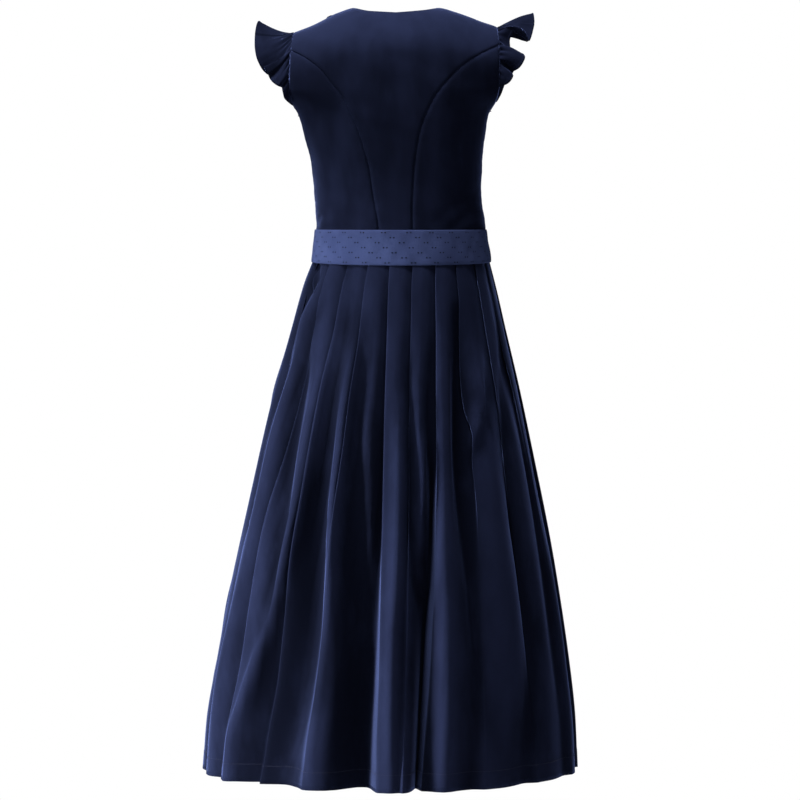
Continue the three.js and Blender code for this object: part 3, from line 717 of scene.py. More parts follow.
def front_panel(name, side, settings):
    low_neck = np.linspace(0, 50, 26, endpoint=False)
    neck_side = np.linspace(50, NECK_HALF, 16, endpoint=False)
    shoulder = np.linspace(NECK_HALF, SHOULDER_HALF, 30)
    top_out = np.concatenate([low_neck, neck_side, shoulder])[:, None]
    height = row_heights(ROWS)[None, :]
    x = front_out(side, side * SHOULDER_HALF, top_out, SHOULDER_END) + FORM["centre"](0)
    neck = curve(FRONT_NECK, "out", "z")(top_out) + tilt_at(x)
    top = np.where(top_out < NECK_HALF, neck, shoulder_height(x))
    z = lerp(WAIST, top, share_of(height))
    out = front_out(side, row_end(FRONT_SEAM, side, height), top_out, height)
    lift = (LAP_LIFT if side < 0 else 0) * (1 - smoothstep(side * out, FRONT_LAP + 2, FRONT_LAP + 26))
    angle = 180 - angle_of(out, z)
    sewn = (False, True)
    if side < 0:
        angle, z, lift = angle[::-1], z[::-1], lift[::-1]
        sewn = (True, False)
    finish_panel(name, angle, z, lift, FRONT_CREASES, sewn, settings)


class DIRNDL_OT_bodice(Operator):
    """Make the seven velvet panels of the bodice"""

    bl_idname = "dirndl.bodice"
    bl_label = "Bodice"

    def execute(self, context):
        settings = context.scene.dirndl_cloth
        back_centre_panel(settings)
        for word, side in (("left", 1), ("right", -1)):
            side_panel(f"bodice_back_side_{word}", BACK_SEAM, side, True, settings)
            side_panel(f"bodice_front_side_{word}", FRONT_SEAM, side, False, settings)
            front_panel(f"bodice_front_{word}", side, settings)
        return {"FINISHED"}


# The sleeves

RUFFLE_LEFT = table(
    "at out z back",
    (0, 2, -146.5, 3), (0.03, 5, -141, 5), (0.06, 8, -135, 5), (0.09, 11, -125.5, 4),
    (0.115, 13, -119.5, -3), (0.14, 16.5, -118.5, 4), (0.17, 20, -117, 7), (0.2, 27, -112, 6),
    (0.225, 32, -106, -2), (0.25, 36, -97, 4), (0.27, 41, -88, 6), (0.3, 38, -99, -6),
    (0.33, 45, -93, -4), (0.37, 51.5, -83.5, 2), (0.41, 57, -71, 6), (0.45, 60, -54, 4),
    (0.49, 60.5, -40, -2), (0.53, 58.5, -22, -8), (0.555, 55, -14.5, -12), (0.59, 51, -32, -20),
    (0.63, 50, -50, -14), (0.67, 45, -66, -6), (0.71, 38, -76, -12), (0.75, 34, -88, -20),
    (0.8, 26, -101, -14), (0.85, 18, -113, -4), (0.9, 10, -124, -9), (0.95, 5, -132, -6),
    (1, 2, -139, -2),
)
RUFFLE_RIGHT = table(
    "at out z back",
    (0, 2, -118, 2), (0.03, 11, -115.5, 6), (0.06, 17.5, -111, 8), (0.09, 22, -102, 5),
    (0.115, 20.5, -97, -3), (0.14, 30, -91, 10), (0.17, 36.5, -82, 14), (0.2, 39.5, -73.5, 10),
    (0.22, 37, -69, 2), (0.25, 22, -69, -6), (0.29, 18.5, -58.5, -6), (0.32, 18, -49, -4),
    (0.35, 21.5, -37.5, 2), (0.375, 29, -28.5, 8), (0.4, 37, -29, 14), (0.425, 44.5, -38, 17),
    (0.45, 49, -47.5, 14), (0.48, 55, -32, 8), (0.51, 58, -16, 2), (0.54, 56.5, -3, -6),
    (0.58, 54, -24, -14), (0.61, 48, -46, -18), (0.645, 34.5, -42, -14), (0.68, 21.5, -38.5, -10),
    (0.71, 12, -44, -8), (0.745, 10, -55, -4), (0.785, 18, -67, -9), (0.82, 29, -78, -14),
    (0.86, 26, -92, -7), (0.9, 16, -105, -2), (0.95, 9, -121, -7), (1, 2, -139, -2),
)


# How far the ruffle's seam is tucked inside the armhole, where its front end lies, and its nap
RUFFLE_TUCK = 1.6
RUFFLE_FRONT_END = -136
RUFFLE_NAP = 0.35


def on_armhole(side, share, back_end, front_end):
    """Points of the sleeve seam, from the back of the armhole over the shoulder to its front."""
    is_back = share <= 0.5
    climb = np.sin(math.pi * np.where(is_back, share, 1 - share)) ** 0.9
    height = lerp(np.where(is_back, back_end, front_end), SHOULDER_END, climb)
    z = height_on(side, height)
    angle = angle_of(side * armhole_at(height), z)
    return on_bodice(np.where(is_back, angle, 180 - angle), z)


def ruffle(name, side, rows, back_end, sag, settings):
    """A ruffle from its seam to its hem, with gathers at the seam and a narrow rolled hem."""
    share = np.linspace(0, 1, 420)
    d = np.linspace(0, 1, 40)[None, :]
    out, hem_z, back = (curve(rows, "at", key)(share)[:, None] for key in ("out", "z", "back"))
    seam = on_armhole(side, share, back_end, RUFFLE_FRONT_END)
    seam[:, 0] -= side * RUFFLE_TUCK
    hang = np.sin(math.pi * d)
    x = seam[:, :1] + side * out * d
    y = seam[:, 1:2] + back * (d + 0.3 * hang)
    z = lerp(seam[:, 2:], hem_z, d) - sag * hang * smoothstep(out, 0, 40)
    grid = np.stack([x, y, z], -1)
    s = share[:, None]
    if side < 0:
        grid, s, out = grid[::-1], s[::-1], out[::-1]
    reach = smoothstep(out, 4, 30)
    gathers = np.sin(2 * math.pi * (27 * s + 0.5 * np.sin(9 * s))) * (1 + 0.5 * np.sin(31 * s + 1))
    near_seam = np.exp(-((d / 0.34) ** 2)) * smoothstep(d, 0, 0.06)
    slow = np.sin(2 * math.pi * (11 * s + 0.7 * np.sin(6 * s))) * np.exp(-(((d - 0.35) / 0.3) ** 2))
    from_hem = (1 - d) * np.maximum(out, 12)
    rolled = 0.7 * np.exp(-(((from_hem - 1.6) / 1.2) ** 2)) * smoothstep(out, 5, 12)
    grid = push_out(grid, reach * (1.5 * gathers * near_seam + 1.0 * slow) + rolled)
    nap = np.full(grid.shape[:2], RUFFLE_NAP)
    piece = cloth_for(name, "sleeve_velvet", grid, settings.ruffle_wall, "navy_velvet", nap=nap)


class DIRNDL_OT_sleeves(Operator):
    """Make the gathered ruffle of each armhole"""

    bl_idname = "dirndl.sleeves"
    bl_label = "Sleeves"

    def execute(self, context):
        settings = context.scene.dirndl_cloth
        ruffle("sleeve_ruffle_left", 1, RUFFLE_LEFT, -144, 3, settings)
        ruffle("sleeve_ruffle_right", -1, RUFFLE_RIGHT, -122, -4, settings)
        return {"FINISHED"}


# The skirt

# The angle of each pleat's outer fold at the waist and at the hem, and the depth of the hollow after it
PLEATS = table(
    "waist hem hollow",
    (84, 87, 14), (68, 74, 10), (51, 61, 16), (34.5, 45, 9), (19.5, 27, 50), (6, 3.8, 8),
    (-6.5, -3.6, 38), (-21, -9.8, 10), (-36, -29, 16), (-54, -51, 9), (-71, -72, 15), (-87, -89, 12),
    (-103, -105, 20), (-118, -121, 12), (-133, -135, 32), (-148, -147, 12), (-163, -160, 24),
    (-178, -176, 14), (-193, -191, 34), (-208, -204, 12), (-223, -220, 18), (-238, -236, 28),
    (-253, -250, 12), (-266, -262, 14),
)
PLEAT_COUNT = len(PLEATS["waist"])

# How one pleat lies at each share of the way down: places along it, where 1 is the next outer fold,
# and shares of the hollow's depth. The first pair rounds the outer fold, the last one lies under it.
PLEAT_TURNS = "lip a b c d e tuck"
PLEAT_SHAPE = table(
    "down lip a b c d e tuck lipIn aIn bIn cIn dIn eIn tuckIn",
    (0.00, 0.07, 0.72, 1.00, 1.75, 1.75, 1.04, 0.995, 0.02, 0.10, 0.96, 1, 0.50, 0.48, 0.15),
    (0.14, 0.07, 0.62, 0.97, 1.42, 1.42, 1.04, 0.99, 0.02, 0.12, 0.90, 1, 0.55, 0.42, 0.12),
    (0.34, 0.08, 0.50, 0.84, 1.10, 1.13, 1.04, 0.99, 0.02, 0.15, 0.70, 1, 0.72, 0.36, 0.10),
    (0.60, 0.11, 0.40, 0.66, 0.87, 0.95, 0.98, 0.99, 0.02, 0.13, 0.52, 1, 0.85, 0.38, 0.12),
    (1.00, 0.14, 0.30, 0.54, 0.76, 0.86, 0.94, 0.98, 0.03, 0.10, 0.50, 1, 0.90, 0.36, 0.10),
)


def pleat_angle(place, down):
    """The angle of a place counted in pleats, where a whole number is an outer fold."""
    whole = np.floor(place).astype(int)
    turns = []
    for n in (whole, whole + 1):
        around = n // PLEAT_COUNT
        pleat = n - around * PLEAT_COUNT
        turns.append(lerp(PLEATS["waist"][pleat], PLEATS["hem"][pleat], down) - 360 * around)
    return lerp(turns[0], turns[1], place - whole)


def hollow_depth(pleat, down, settings):
    swell = settings.swell * 4 * down * (1 - down) ** 2
    return lerp(settings.stack, PLEATS["hollow"][pleat % PLEAT_COUNT], down) + swell


def skirt_grid(first, count, down, settings):
    """The angle, height and distance out of some pleats, columns running right, a row for each height."""
    turns = PLEAT_TURNS.split()
    places, depths = [], []
    for n in range(first - 1, first + count):
        depth = hollow_depth(np.full(down.shape, n), down, settings)
        places.append(np.full(down.shape, float(n)))
        depths.append(np.zeros(down.shape))
        for turn in turns:
            places.append(n + curve(PLEAT_SHAPE, "down", turn)(down))
            depths.append(depth * curve(PLEAT_SHAPE, "down", turn + "In")(down))
    start = turns.index("d") + 1
    stop = len(places) - (len(turns) - turns.index("d"))
    points = np.stack([np.array(places), np.array(depths)], -1)
    samples = []
    for i in range(start, stop):
        for step in np.arange(settings.steps) / settings.steps:
            before, here, after = points[i - 1], points[i], points[i + 1]
            bend = (1 - step) ** 2 / 2 * before + (0.5 + step - step * step) * here
            samples.append(bend + step * step / 2 * after)
    samples.append((points[stop - 1] + points[stop]) / 2)
    samples = np.array(samples)
    z = lerp(WAIST, HEM, down)[None, :] + np.zeros(samples.shape[:2])
    return pleat_angle(samples[..., 0], down[None, :]), z, -samples[..., 1]


# The long soft folds of the skirt's back, each along its own line: its place across and its half
# width at some heights, and how far it stands out, or lies in where that is negative.
SKIRT_FOLD_LINES = {
    "side_trough": [
        (-411, 130, 6, -3.2), (-458, 153, 6, -6.4), (-550, 177, 8, -8), (-647, 205, 8, -8),
        (-704, 219, 8, -6.4), (-817, 243, 8, 0),
    ],
    "side_ridge": [
        (-430, 135, 9, 0), (-485, 149, 10, 4.2), (-592, 176, 12, 5.6), (-673, 195, 14, 7),
        (-775, 216, 14, 7), (-914, 249, 14, 5.6), (-1015, 274, 12, 5.6), (-1122, 290, 12, 2.8),
    ],
    "second_trough": [
        (-440, 113, 6, 0), (-503, 143, 8, -3.4), (-580, 157, 10, -6.8), (-684, 175, 10, -8.5),
        (-771, 186, 10, -6.8), (-897, 200, 10, -5.1), (-1018, 221, 10, 0),
    ],
    "second_ridge": [
        (-489, 110, 9, 0), (-563, 124, 10, 3.6), (-643, 140, 10, 4.8), (-769, 161, 8, 6),
        (-860, 182, 8, 7.2), (-957, 209, 8, 7.2), (-1037, 234, 8, 7.2), (-1112, 256, 8, 6),
        (-1182, 262, 8, 4.8),
    ],
    "wide_trough": [
        (-438, 78, 8, -1.5), (-515, 91, 8, -4.5), (-597, 107, 10, -6), (-668, 118, 14, -9),
        (-747, 133, 18, -12), (-863, 151, 27, -16.5), (-953, 169, 36, -19.5), (-1044, 190, 39, -21),
        (-1120, 205, 36, -18), (-1180, 211, 33, -13.5),
    ],
    "bright_ridge": [
        (-495, 75, 9, 0), (-583, 83, 12, 4.8), (-653, 94, 12, 6), (-766, 106, 12, 8.4),
        (-861, 114, 12, 8.4), (-980, 126, 12, 7.2), (-1069, 138, 12, 4.8), (-1174, 147, 12, 1.2),
    ],
    "fourth_trough": [
        (-455, 48, 6, 0), (-540, 59, 8, -3.6), (-628, 70, 10, -6), (-720, 75, 15, -8.4),
        (-889, 77, 21, -10.8), (-1037, 78, 22, -9.6), (-1170, 81, 18, -6),
    ],
    "small_ridge": [
        (-593, 47, 8, 0), (-667, 47, 9, 2), (-800, 48, 9, 2), (-889, 48, 8, 0),
    ],
    "centre_ridge": [
        (-578, 3, 10, 0), (-666, 3, 10, 4), (-765, 5, 12, 5), (-859, 9, 14, 5), (-947, 15, 14, 5),
        (-1095, 17, 14, 5), (-1169, 15, 14, 4),
    ],
    "centre_trough": [
        (-473, -16, 6, 0), (-560, -16, 6, -3), (-666, -16, 8, -5), (-765, -16, 9, -6),
        (-859, -21, 10, -7), (-918, -28, 14, -8), (-1006, -28, 14, -8), (-1170, -32, 14, -6),
    ],
    "short_ridge": [
        (-548, -22, 4, 0), (-614, -27, 5, 3), (-666, -31, 6, 4), (-726, -33, 6, 4), (-786, -30, 6, 2),
        (-844, -30, 6, 0),
    ],
    "short_trough": [
        (-518, -39, 6, 0), (-638, -42, 6, -3), (-741, -48, 6, -3), (-830, -48, 6, 0),
    ],
    "right_ridge": [
        (-443, -62, 8, 0), (-508, -63, 9, 2), (-653, -65, 9, 3), (-801, -64, 10, 4), (-919, -67, 12, 5),
        (-1067, -67, 12, 4), (-1171, -64, 12, 3),
    ],
    "deep_trough": [
        (-444, -82, 9, 0), (-508, -86, 12, -5), (-594, -88, 14, -10), (-667, -89, 14, -11),
        (-743, -92, 12, -9), (-802, -97, 12, -7), (-876, -106, 12, -6), (-950, -112, 12, -5),
        (-1040, -123, 12, -2), (-1129, -125, 12, 0),
    ],
    "lit_ridge": [
        (-505, -113, 4, 0), (-550, -118, 6, 4.8), (-587, -117, 6, 8), (-629, -111, 7, 8),
        (-661, -106, 8, 4.8), (-706, -99, 8, 0),
    ],
    "wide_ridge": [
        (-595, -131, 14, 0), (-668, -127, 16, 3), (-774, -134, 18, 5), (-864, -146, 20, 6),
        (-924, -156, 20, 6), (-984, -164, 20, 5), (-1103, -173, 18, 0),
    ],
    "far_trough": [
        (-476, -152, 6, 0), (-564, -157, 8, -3), (-645, -161, 9, -4), (-724, -167, 9, -4),
        (-822, -179, 9, -6), (-897, -189, 12, -7), (-987, -198, 15, -6), (-1108, -207, 15, -3),
        (-1184, -212, 15, -2),
    ],
    "far_ridge": [
        (-663, -206, 4, 0), (-754, -221, 6, 2), (-845, -234, 6, 3), (-937, -246, 6, 3),
        (-1060, -260, 6, 2), (-1185, -271, 6, 1),
    ],
}
SKIRT_FOLDS = {key: table("z x width out", *rows) for key, rows in SKIRT_FOLD_LINES.items()}

# The tables' lines are where a fold catches the light. Its middle lies this share of its width aside.
FOLD_ASIDE = 0.6


def long_folds(grid, folds):
    """How far the folds that run down the cloth move each point out, in millimetres."""
    x, z = grid[..., 0], grid[..., 2]
    total = np.zeros(x.shape)
    for rows in folds.values():
        off = (x - curve(rows, "z", "x")(z)) / curve(rows, "z", "width")(z) + FOLD_ASIDE
        total += curve(rows, "z", "out")(z) * np.exp(-off * off)
    return total


def skirt_half(name, first, settings, cloth):
    down = np.linspace(1, 0, settings.rows) ** 1.15
    angle, z, out = skirt_grid(first, PLEAT_COUNT // 2, down, settings)
    grid = on_section(HOOP, angle, z, out)
    soft = smoothstep(down, 0.03, 0.35)[None, :]
    if first == 0:
        inside = 1 - smoothstep(np.abs(angle), 68, 84)
        folds = settings.fold * inside * long_folds(grid, SKIRT_FOLDS)
        move = folds + 0.8 * soft * ripple(angle * 4, z * 0.35, 11, 150)
    else:
        broad = 4.5 * ripple(angle * 4, z * 0.22, 31, 130)
        folds = move = soft * (broad + 1.5 * ripple(angle * 4, z * 0.3, 12, 60))
    grid = on_section(HOOP, angle, z, out + move)
    above_hem = z - HEM
    thick = 0.5 * (1 - smoothstep(above_hem, settings.hem_depth - 1, settings.hem_depth + 1.5))
    grid = push_out(grid, thick - 0.7 * np.exp(-(((above_hem - settings.hem_depth) / 2.2) ** 2)))
    # Painted shade: the nap attribute darkens the long folds' troughs and the pleats' hollows and lightens
    # their ridges, and it is halved towards the sides and all over the front half.
    nap = smoothstep(folds + out, -14, 8) * (1 - 0.5 * smoothstep(np.abs(angle), 42, 72))
    piece = cloth_for(name, "skirt_velvet", grid, cloth.skirt_wall, "navy_velvet", nap=nap)
    return grid


class DIRNDL_OT_skirt(Operator):
    """Make the pleated halves of the skirt and their hem stitching"""

    bl_idname = "dirndl.skirt"
    bl_label = "Skirt"

    def execute(self, context):
        settings = context.scene.dirndl_skirt
        for name, first in (("skirt_back", 0), ("skirt_front", PLEAT_COUNT // 2)):
            grid = skirt_half(name, first, settings, context.scene.dirndl_cloth)
            line = stitch_line(grid, HEM + settings.hem_depth)
            sew(name + "_hem_stitches", line, "skirt_velvet")
        return {"FINISHED"}


# Stitching


def stitch_line(grid, z):
    """Where a height crosses each column of a grid, a little outside the cloth."""
    outside = push_out(grid, np.full(grid.shape[:2], 0.15))
    line = []
    for column in outside:
        order = np.argsort(column[:, 2])
        line.append([np.interp(z, column[order, 2], column[order, k]) for k in range(3)])
    return np.array(line)


STITCH_NODES = {
    "inputs": "NodeGroupInput",
    "outputs": "NodeGroupOutput",
    "curve": "GeometryNodeMeshToCurve",
    "resample": "GeometryNodeResampleCurve",
    "points": "GeometryNodeInstanceOnPoints",
    "shape": "GeometryNodeMeshUVSphere",
    "tangent": "GeometryNodeInputTangent",
    "align": "FunctionNodeAlignRotationToVector",
    "size": "ShaderNodeCombineXYZ",
    "realize": "GeometryNodeRealizeInstances",
    "thread": "GeometryNodeSetMaterial",
}
STITCH_LINKS = (
    ("inputs", "Path", "curve", "Mesh"),
    ("curve", "Curve", "resample", "Curve"),
    ("inputs", "Pitch", "resample", "Length"),
    ("resample", "Curve", "points", "Points"),
    ("shape", "Mesh", "points", "Instance"),
    ("tangent", "Tangent", "align", "Vector"),
    ("align", "Rotation", "points", "Rotation"),
    ("inputs", "Thickness", "size", "X"),
    ("inputs", "Thickness", "size", "Y"),
    ("inputs", "Length", "size", "Z"),
    ("size", "Vector", "points", "Scale"),
    ("points", "Instances", "realize", "Geometry"),
    ("realize", "Geometry", "thread", "Geometry"),
    ("inputs", "Thread", "thread", "Material"),
    ("thread", "Geometry", "outputs", "Stitches"),
)


def stitch_tree():
    """Geometry Nodes: a stitch laid along a path again and again."""
    name = "stitches_along_a_path"
    made = bpy.data.node_groups.get(name)
    if made:
        return made
    tree = bpy.data.node_groups.new(name, "GeometryNodeTree")
    tree.interface.new_socket("Path", in_out="INPUT", socket_type="NodeSocketGeometry")
    for label, value in (("Pitch", 0.0034), ("Length", 0.0024), ("Thickness", 0.0007)):
        socket = tree.interface.new_socket(label, in_out="INPUT", socket_type="NodeSocketFloat")
        socket.default_value = value
    tree.interface.new_socket("Thread", in_out="INPUT", socket_type="NodeSocketMaterial")
    tree.interface.new_socket("Stitches", in_out="OUTPUT", socket_type="NodeSocketGeometry")
    nodes = {key: tree.nodes.new(kind) for key, kind in STITCH_NODES.items()}
    nodes["resample"].mode = "LENGTH"
    nodes["align"].axis = "Z"
    for key, value in (("Segments", 6), ("Rings", 4), ("Radius", 0.5)):
        nodes["shape"].inputs[key].default_value = value
    for start, output, end, entry in STITCH_LINKS:
        tree.links.new(nodes[start].outputs[output], nodes[end].inputs[entry])
    return tree


def sew(name, line, slot):
    """A row of stitches along a line of points, baked to a plain mesh."""
    mesh = bpy.data.meshes.new(name)
    edges = [(i, i + 1) for i in range(len(line) - 1)]
    mesh.from_pydata((np.asarray(line) * MM).tolist(), edges, [])
    source = add_object(name + "_path", mesh)
    modifier = source.modifiers.new("stitches", "NODES")
    modifier.node_group = stitch_tree()
    for item in modifier.node_group.interface.items_tree:
        if item.name == "Thread":
            modifier[item.identifier] = finish_of("navy_thread")
    graph = bpy.context.evaluated_depsgraph_get()
    baked = bpy.data.meshes.new_from_object(source.evaluated_get(graph))
    bpy.data.objects.remove(source)
    baked.name = name
    baked.shade_smooth()
    dress_node(add_object(name, baked), slot)


# The apron

BAND_TOP = -337
BAND_BOTTOM = -387
BAND_DIP = 4
BAND_LIFT_TOP = 2.1
BAND_LIFT_BOTTOM = 5.2
BAND_END = -150
BAND_LAP = 10
LAP_MIDDLE = 184
LAP_HALF_ANGLE = 17
APRON_HEM = -1100
APRON_HALF_ANGLE = 66
APRON_GATHERS = 14
APRON_FOLDS = 5
APRON_CLOTH_WIDTH = 740
APRON_HEM_DEPTH = 22
BAND_LENGTH = 810
BAND_HEIGHT = 50
BAND_LAP_STEP = 1.6


def waistband(settings):
    share = np.linspace(0, 1, 520)[:, None]
    up = np.linspace(0, 1, 34)[None, :]
    angle = BAND_END - share * (360 + BAND_LAP)
    turn = BAND_LAP / 360
    on_top = smoothstep(share, 1 - 2.4 * turn, 1 - 1.2 * turn)
    dip = BAND_DIP * np.maximum(np.cos(np.radians(angle)), 0)
    from_lap = np.abs(np.mod(angle, 360) - LAP_MIDDLE)
    over_lap = LAP_LIFT * (1 - smoothstep(from_lap, LAP_HALF_ANGLE, 2 * LAP_HALF_ANGLE))
    z = lerp(BAND_BOTTOM - dip, BAND_TOP, up)
    lift = lerp(BAND_LIFT_BOTTOM, BAND_LIFT_TOP, up) + on_top * BAND_LAP_STEP + over_lap
    grid = on_section(FORM, angle + 0 * up, np.maximum(z, WAIST), lift)
    grid[..., 2] = z
    length = share * BAND_LENGTH
    slant = np.sin((length + 2.1 * up * BAND_HEIGHT) / 15 + 2 * np.sin(length / 71)) * np.sin(math.pi * up)
    wave = 0.7 * ripple(length + 0 * up, up * BAND_HEIGHT + 0 * share, 5, 60)
    edges = np.exp(-((up / 0.05) ** 2)) + np.exp(-(((1 - up) / 0.05) ** 2))
    grid = push_out(grid, 0.25 * slant + wave - 0.5 * edges)
    uv = np.stack([length + 0 * up, BAND_HEIGHT * up + 0 * share], -1)
    piece = cloth_for("apron_waistband", "apron_cotton", grid, settings.wall, "dotted_cotton", uv)


def apron_panel(settings):
    share = np.linspace(0, 1, 340)[:, None]
    up = np.linspace(0, 1, 96)[None, :]
    down = (1 - up) ** 1.25
    angle = 180 + lerp(APRON_HALF_ANGLE, -APRON_HALF_ANGLE, share)
    z = lerp(BAND_BOTTOM - 0.3, APRON_HEM, down) + 0 * share
    count = 2 * math.pi * APRON_GATHERS * share
    gather = 1.6 * (1 - smoothstep(down, 0, 0.5)) * (1 + np.sin(count))
    fold = 5 * smoothstep(down, 0, 0.9) * (1 + np.sin(2 * math.pi * (APRON_FOLDS * share + 0.1)))
    fine = 0.5 * np.sin(2.6 * count + 1.2 * np.sin(count / 2)) * np.exp(-down / 0.05)
    fine = fine * smoothstep(down, 0, 0.01)
    out = lerp(4.4, 6, down) + gather + fold + fine
    grid = on_section(HOOP, angle + 0 * z, z, out)
    uneven = 1.2 * ripple(grid[..., 0], grid[..., 2] * 0.4, 23, 120)
    grid = push_out(grid, uneven * smoothstep(down, 0.05, 0.4))
    uv = np.stack([share * APRON_CLOTH_WIDTH + 0 * up, z - APRON_HEM], -1)
    piece = cloth_for("apron_panel", "apron_cotton", grid, settings.wall, "dotted_cotton", uv)
    return grid


class DIRNDL_OT_apron(Operator):
    """Make the apron's waistband and its gathered panel"""

    bl_idname = "dirndl.apron"
    bl_label = "Apron"

    def execute(self, context):
        settings = context.scene.dirndl_apron
        waistband(settings)
        grid = apron_panel(settings)
        sew("apron_hem_stitches", stitch_line(grid, APRON_HEM + APRON_HEM_DEPTH), "apron_cotton")
        return {"FINISHED"}


# The buttons


# A button's outline from its shank over its rim to its dome: radius and height
BUTTON_OUTLINE = (
    (2.2, 0), (2.2, 1.5), (5.9, 1.6), (6.3, 1.8), (6.45, 2.2), (6.3, 2.7),
    (5.9, 2.95), (5.4, 2.85), (5.0, 2.95), (4.2, 3.5), (3.0, 3.9), (1.5, 4.1),
)
BUTTON_TOP = 4.15
BUTTON_SIDES = 40
BUTTON_CLEAR = 0.5


def button_mesh(name, node):
    """A domed button with a rim and a shank, facing out from the bodice at its node's height."""
    low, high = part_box(node)
    z = (low.z + high.z) / 2 / MM
    seat = on_bodice(180, z, LAP_LIFT)
    above = on_bodice(180, z + 1, LAP_LIFT)
    out = Vector((0, -(above[2] - seat[2]), above[1] - seat[1])).normalized()
    turn = Vector((0, 0, 1)).rotation_difference(out)
    points, faces = [], []
    corners = [2 * math.pi * k / BUTTON_SIDES for k in range(BUTTON_SIDES)]
    for radius, height in BUTTON_OUTLINE:
        points += [Vector((radius * math.cos(a), radius * math.sin(a), height)) for a in corners]
    last = (len(BUTTON_OUTLINE) - 1) * BUTTON_SIDES
    pairs = [(k, (k + 1) % BUTTON_SIDES) for k in range(BUTTON_SIDES)]
    for start in range(0, last, BUTTON_SIDES):
        for k, after in pairs:
            a, b = start + k, start + after
            faces.append((a, b, b + BUTTON_SIDES, a + BUTTON_SIDES))
    bottom, top = len(points), len(points) + 1
    points += [Vector((0, 0, 0)), Vector((0, 0, BUTTON_TOP))]
    for k, after in pairs:
        faces += [(bottom, after, k), (top, last + k, last + after)]
    place = Vector(seat) + out * BUTTON_CLEAR
    mesh = bpy.data.meshes.new(name)
    mesh.from_pydata([tuple((turn @ p + place) * MM) for p in points], [], faces)
    mesh.shade_smooth()
    mesh.materials.append(finish_of("dark_button"))
    dress_node(add_object(name, mesh), "button_horn", node)


class DIRNDL_OT_buttons(Operator):
    """Make the buttons of the front opening"""

    bl_idname = "dirndl.buttons"
    bl_label = "Buttons"

    def execute(self, context):
        for node in sorted(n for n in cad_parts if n.startswith("button_")):
            button_mesh(node + "_dome", node)
        return {"FINISHED"}


# The studio

PIXELS = 800
MM_A_PIXEL = 1.55
SENSOR = 36
AIM = (-0.003, 0, -0.601)
MIDDLE = (0, 0, -0.55)
FLOOR_REACH = 1.4
FLOOR_HEIGHT = -1.5


def aimed(name, data, place, target):
    """An object at a place that looks at its target."""
    item = add_object(name, data)
    item.location = place
    item.rotation_euler = (Vector(target) - Vector(place)).to_track_quat("-Z", "Y").to_euler()
    return item


def area_light(name, place, target, size, power, spread=180):
    light = bpy.data.lights.new(name, "AREA")
    light.shape = "DISK"
    light.spread = math.radians(spread)
    light.size = size
    light.energy = power
    aimed(name, light, place, target)


def add_camera(settings):
    place = Vector((0.005, settings.distance, settings.camera_height))
    camera = bpy.data.cameras.new("camera")
    camera.sensor_width = SENSOR
    camera.lens = SENSOR * (Vector(AIM) - place).length / MM / MM_A_PIXEL / PIXELS
    bpy.context.scene.camera = aimed("camera", camera, place, AIM)


def add_floor():
    mesh = bpy.data.meshes.new("floor")
    turns = ((-1, -1), (1, -1), (1, 1), (-1, 1))
    corners = [(x * FLOOR_REACH, y * FLOOR_REACH, FLOOR_HEIGHT) for x, y in turns]
    mesh.from_pydata(corners, [], [(0, 1, 2, 3)])
    material, tree = new_material("pale_floor")
    place = object_place(tree)
    shade = mix_colors(tree, noise(tree, place, 1.5), (0.92, 0.92, 0.92), (0.95, 0.95, 0.95))
    surface(tree, shade, None, 0.9)
    mesh.materials.append(material)
    floor = add_object("floor", mesh)


def add_world(settings):
    """A white backdrop that lights the dress less than it shows."""
    world = bpy.data.worlds.new("studio")
    world.use_nodes = True
    nodes, link = world.node_tree.nodes, world.node_tree.links.new
    backdrop = nodes["Background"]
    backdrop.inputs["Color"].default_value = (1, 1, 1, 1)
    ambient = nodes.new("ShaderNodeBackground")
    ambient.inputs["Strength"].default_value = settings.ambient
    choice = nodes.new("ShaderNodeMixShader")
    seen = nodes.new("ShaderNodeLightPath").outputs["Is Camera Ray"]
    link(seen, choice.inputs["Fac"])
    link(ambient.outputs[0], choice.inputs[1])
    link(backdrop.outputs[0], choice.inputs[2])
    link(choice.outputs[0], nodes["World Output"].inputs["Surface"])
    bpy.context.scene.world = world


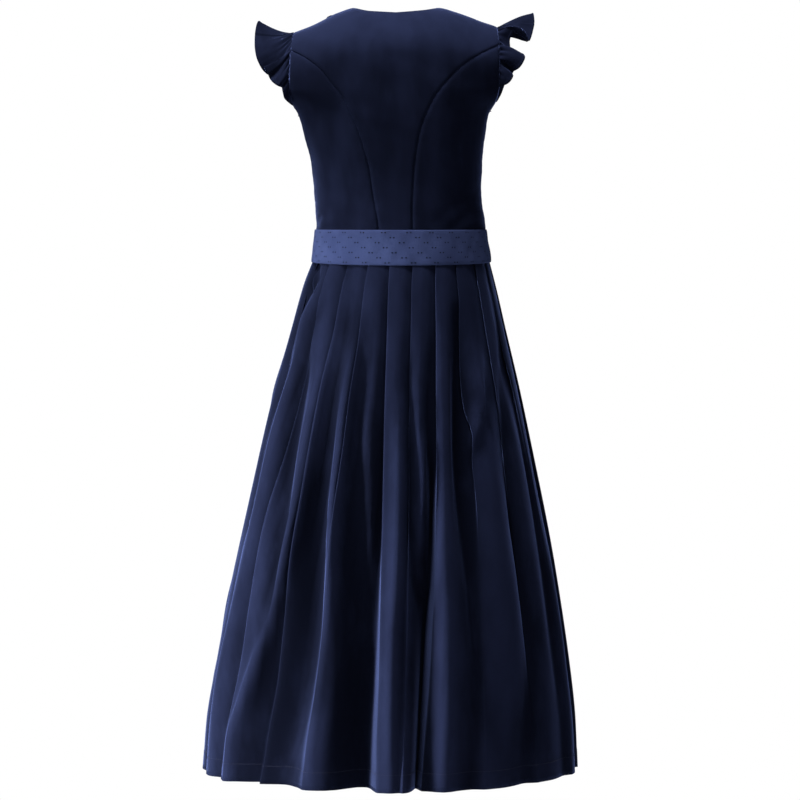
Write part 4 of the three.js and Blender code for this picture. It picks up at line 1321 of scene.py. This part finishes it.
class DIRNDL_OT_stage(Operator):
    """Make the pale floor, the soft light and the camera behind the dress"""

    bl_idname = "dirndl.stage"
    bl_label = "Studio"

    def execute(self, context):
        settings = context.scene.dirndl_stage
        add_camera(settings)
        add_floor()
        area_light("key", (3.1, 1.05, -0.75), (0, 0, -1.05), 0.5, settings.key, 36)
        area_light("top", (0.6, 0.5, 1.9), (0, 0, -0.1), 0.8, settings.fill * 0.5, 90)
        area_light("fill", (-1.6, 4.1, 1.5), MIDDLE, 2.0, settings.fill)
        area_light("front_key", (0.6, -4.2, 1.6), MIDDLE, 1.4, settings.fill * 2)
        add_world(settings)
        context.scene.view_settings.view_transform = "Standard"
        return {"FINISHED"}


class DIRNDL_PT_panel(Panel):
    """The steps that make the dress"""

    bl_label = "Velvet dirndl"
    bl_idname = "DIRNDL_PT_panel"
    bl_space_type = "VIEW_3D"
    bl_region_type = "UI"
    bl_category = "Dirndl"

    def draw(self, context):
        for operator in OPERATORS:
            self.layout.operator(operator.bl_idname)
        for group in GROUPS:
            settings = getattr(context.scene, group)
            for key in settings.__annotations__:
                self.layout.prop(settings, key)


OPERATORS = (
    DIRNDL_OT_bodice,
    DIRNDL_OT_sleeves,
    DIRNDL_OT_skirt,
    DIRNDL_OT_apron,
    DIRNDL_OT_buttons,
    DIRNDL_OT_stage,
)
GROUPS = {
    "dirndl_cloth": DirndlCloth,
    "dirndl_skirt": DirndlSkirt,
    "dirndl_apron": DirndlApron,
    "dirndl_stage": DirndlStage,
}


def register():
    for cls in (*GROUPS.values(), *OPERATORS, DIRNDL_PT_panel):
        bpy.utils.register_class(cls)
    for name, cls in GROUPS.items():
        setattr(bpy.types.Scene, name, PointerProperty(type=cls))


def unregister():
    for name in GROUPS:
        delattr(bpy.types.Scene, name)
    for cls in (DIRNDL_PT_panel, *reversed(OPERATORS), *GROUPS.values()):
        bpy.utils.unregister_class(cls)


def main():
    register()
    bpy.ops.dirndl.bodice()
    bpy.ops.dirndl.sleeves()
    bpy.ops.dirndl.skirt()
    bpy.ops.dirndl.apron()
    bpy.ops.dirndl.buttons()
    bpy.ops.dirndl.stage()


if __name__ == "__main__":
    main()
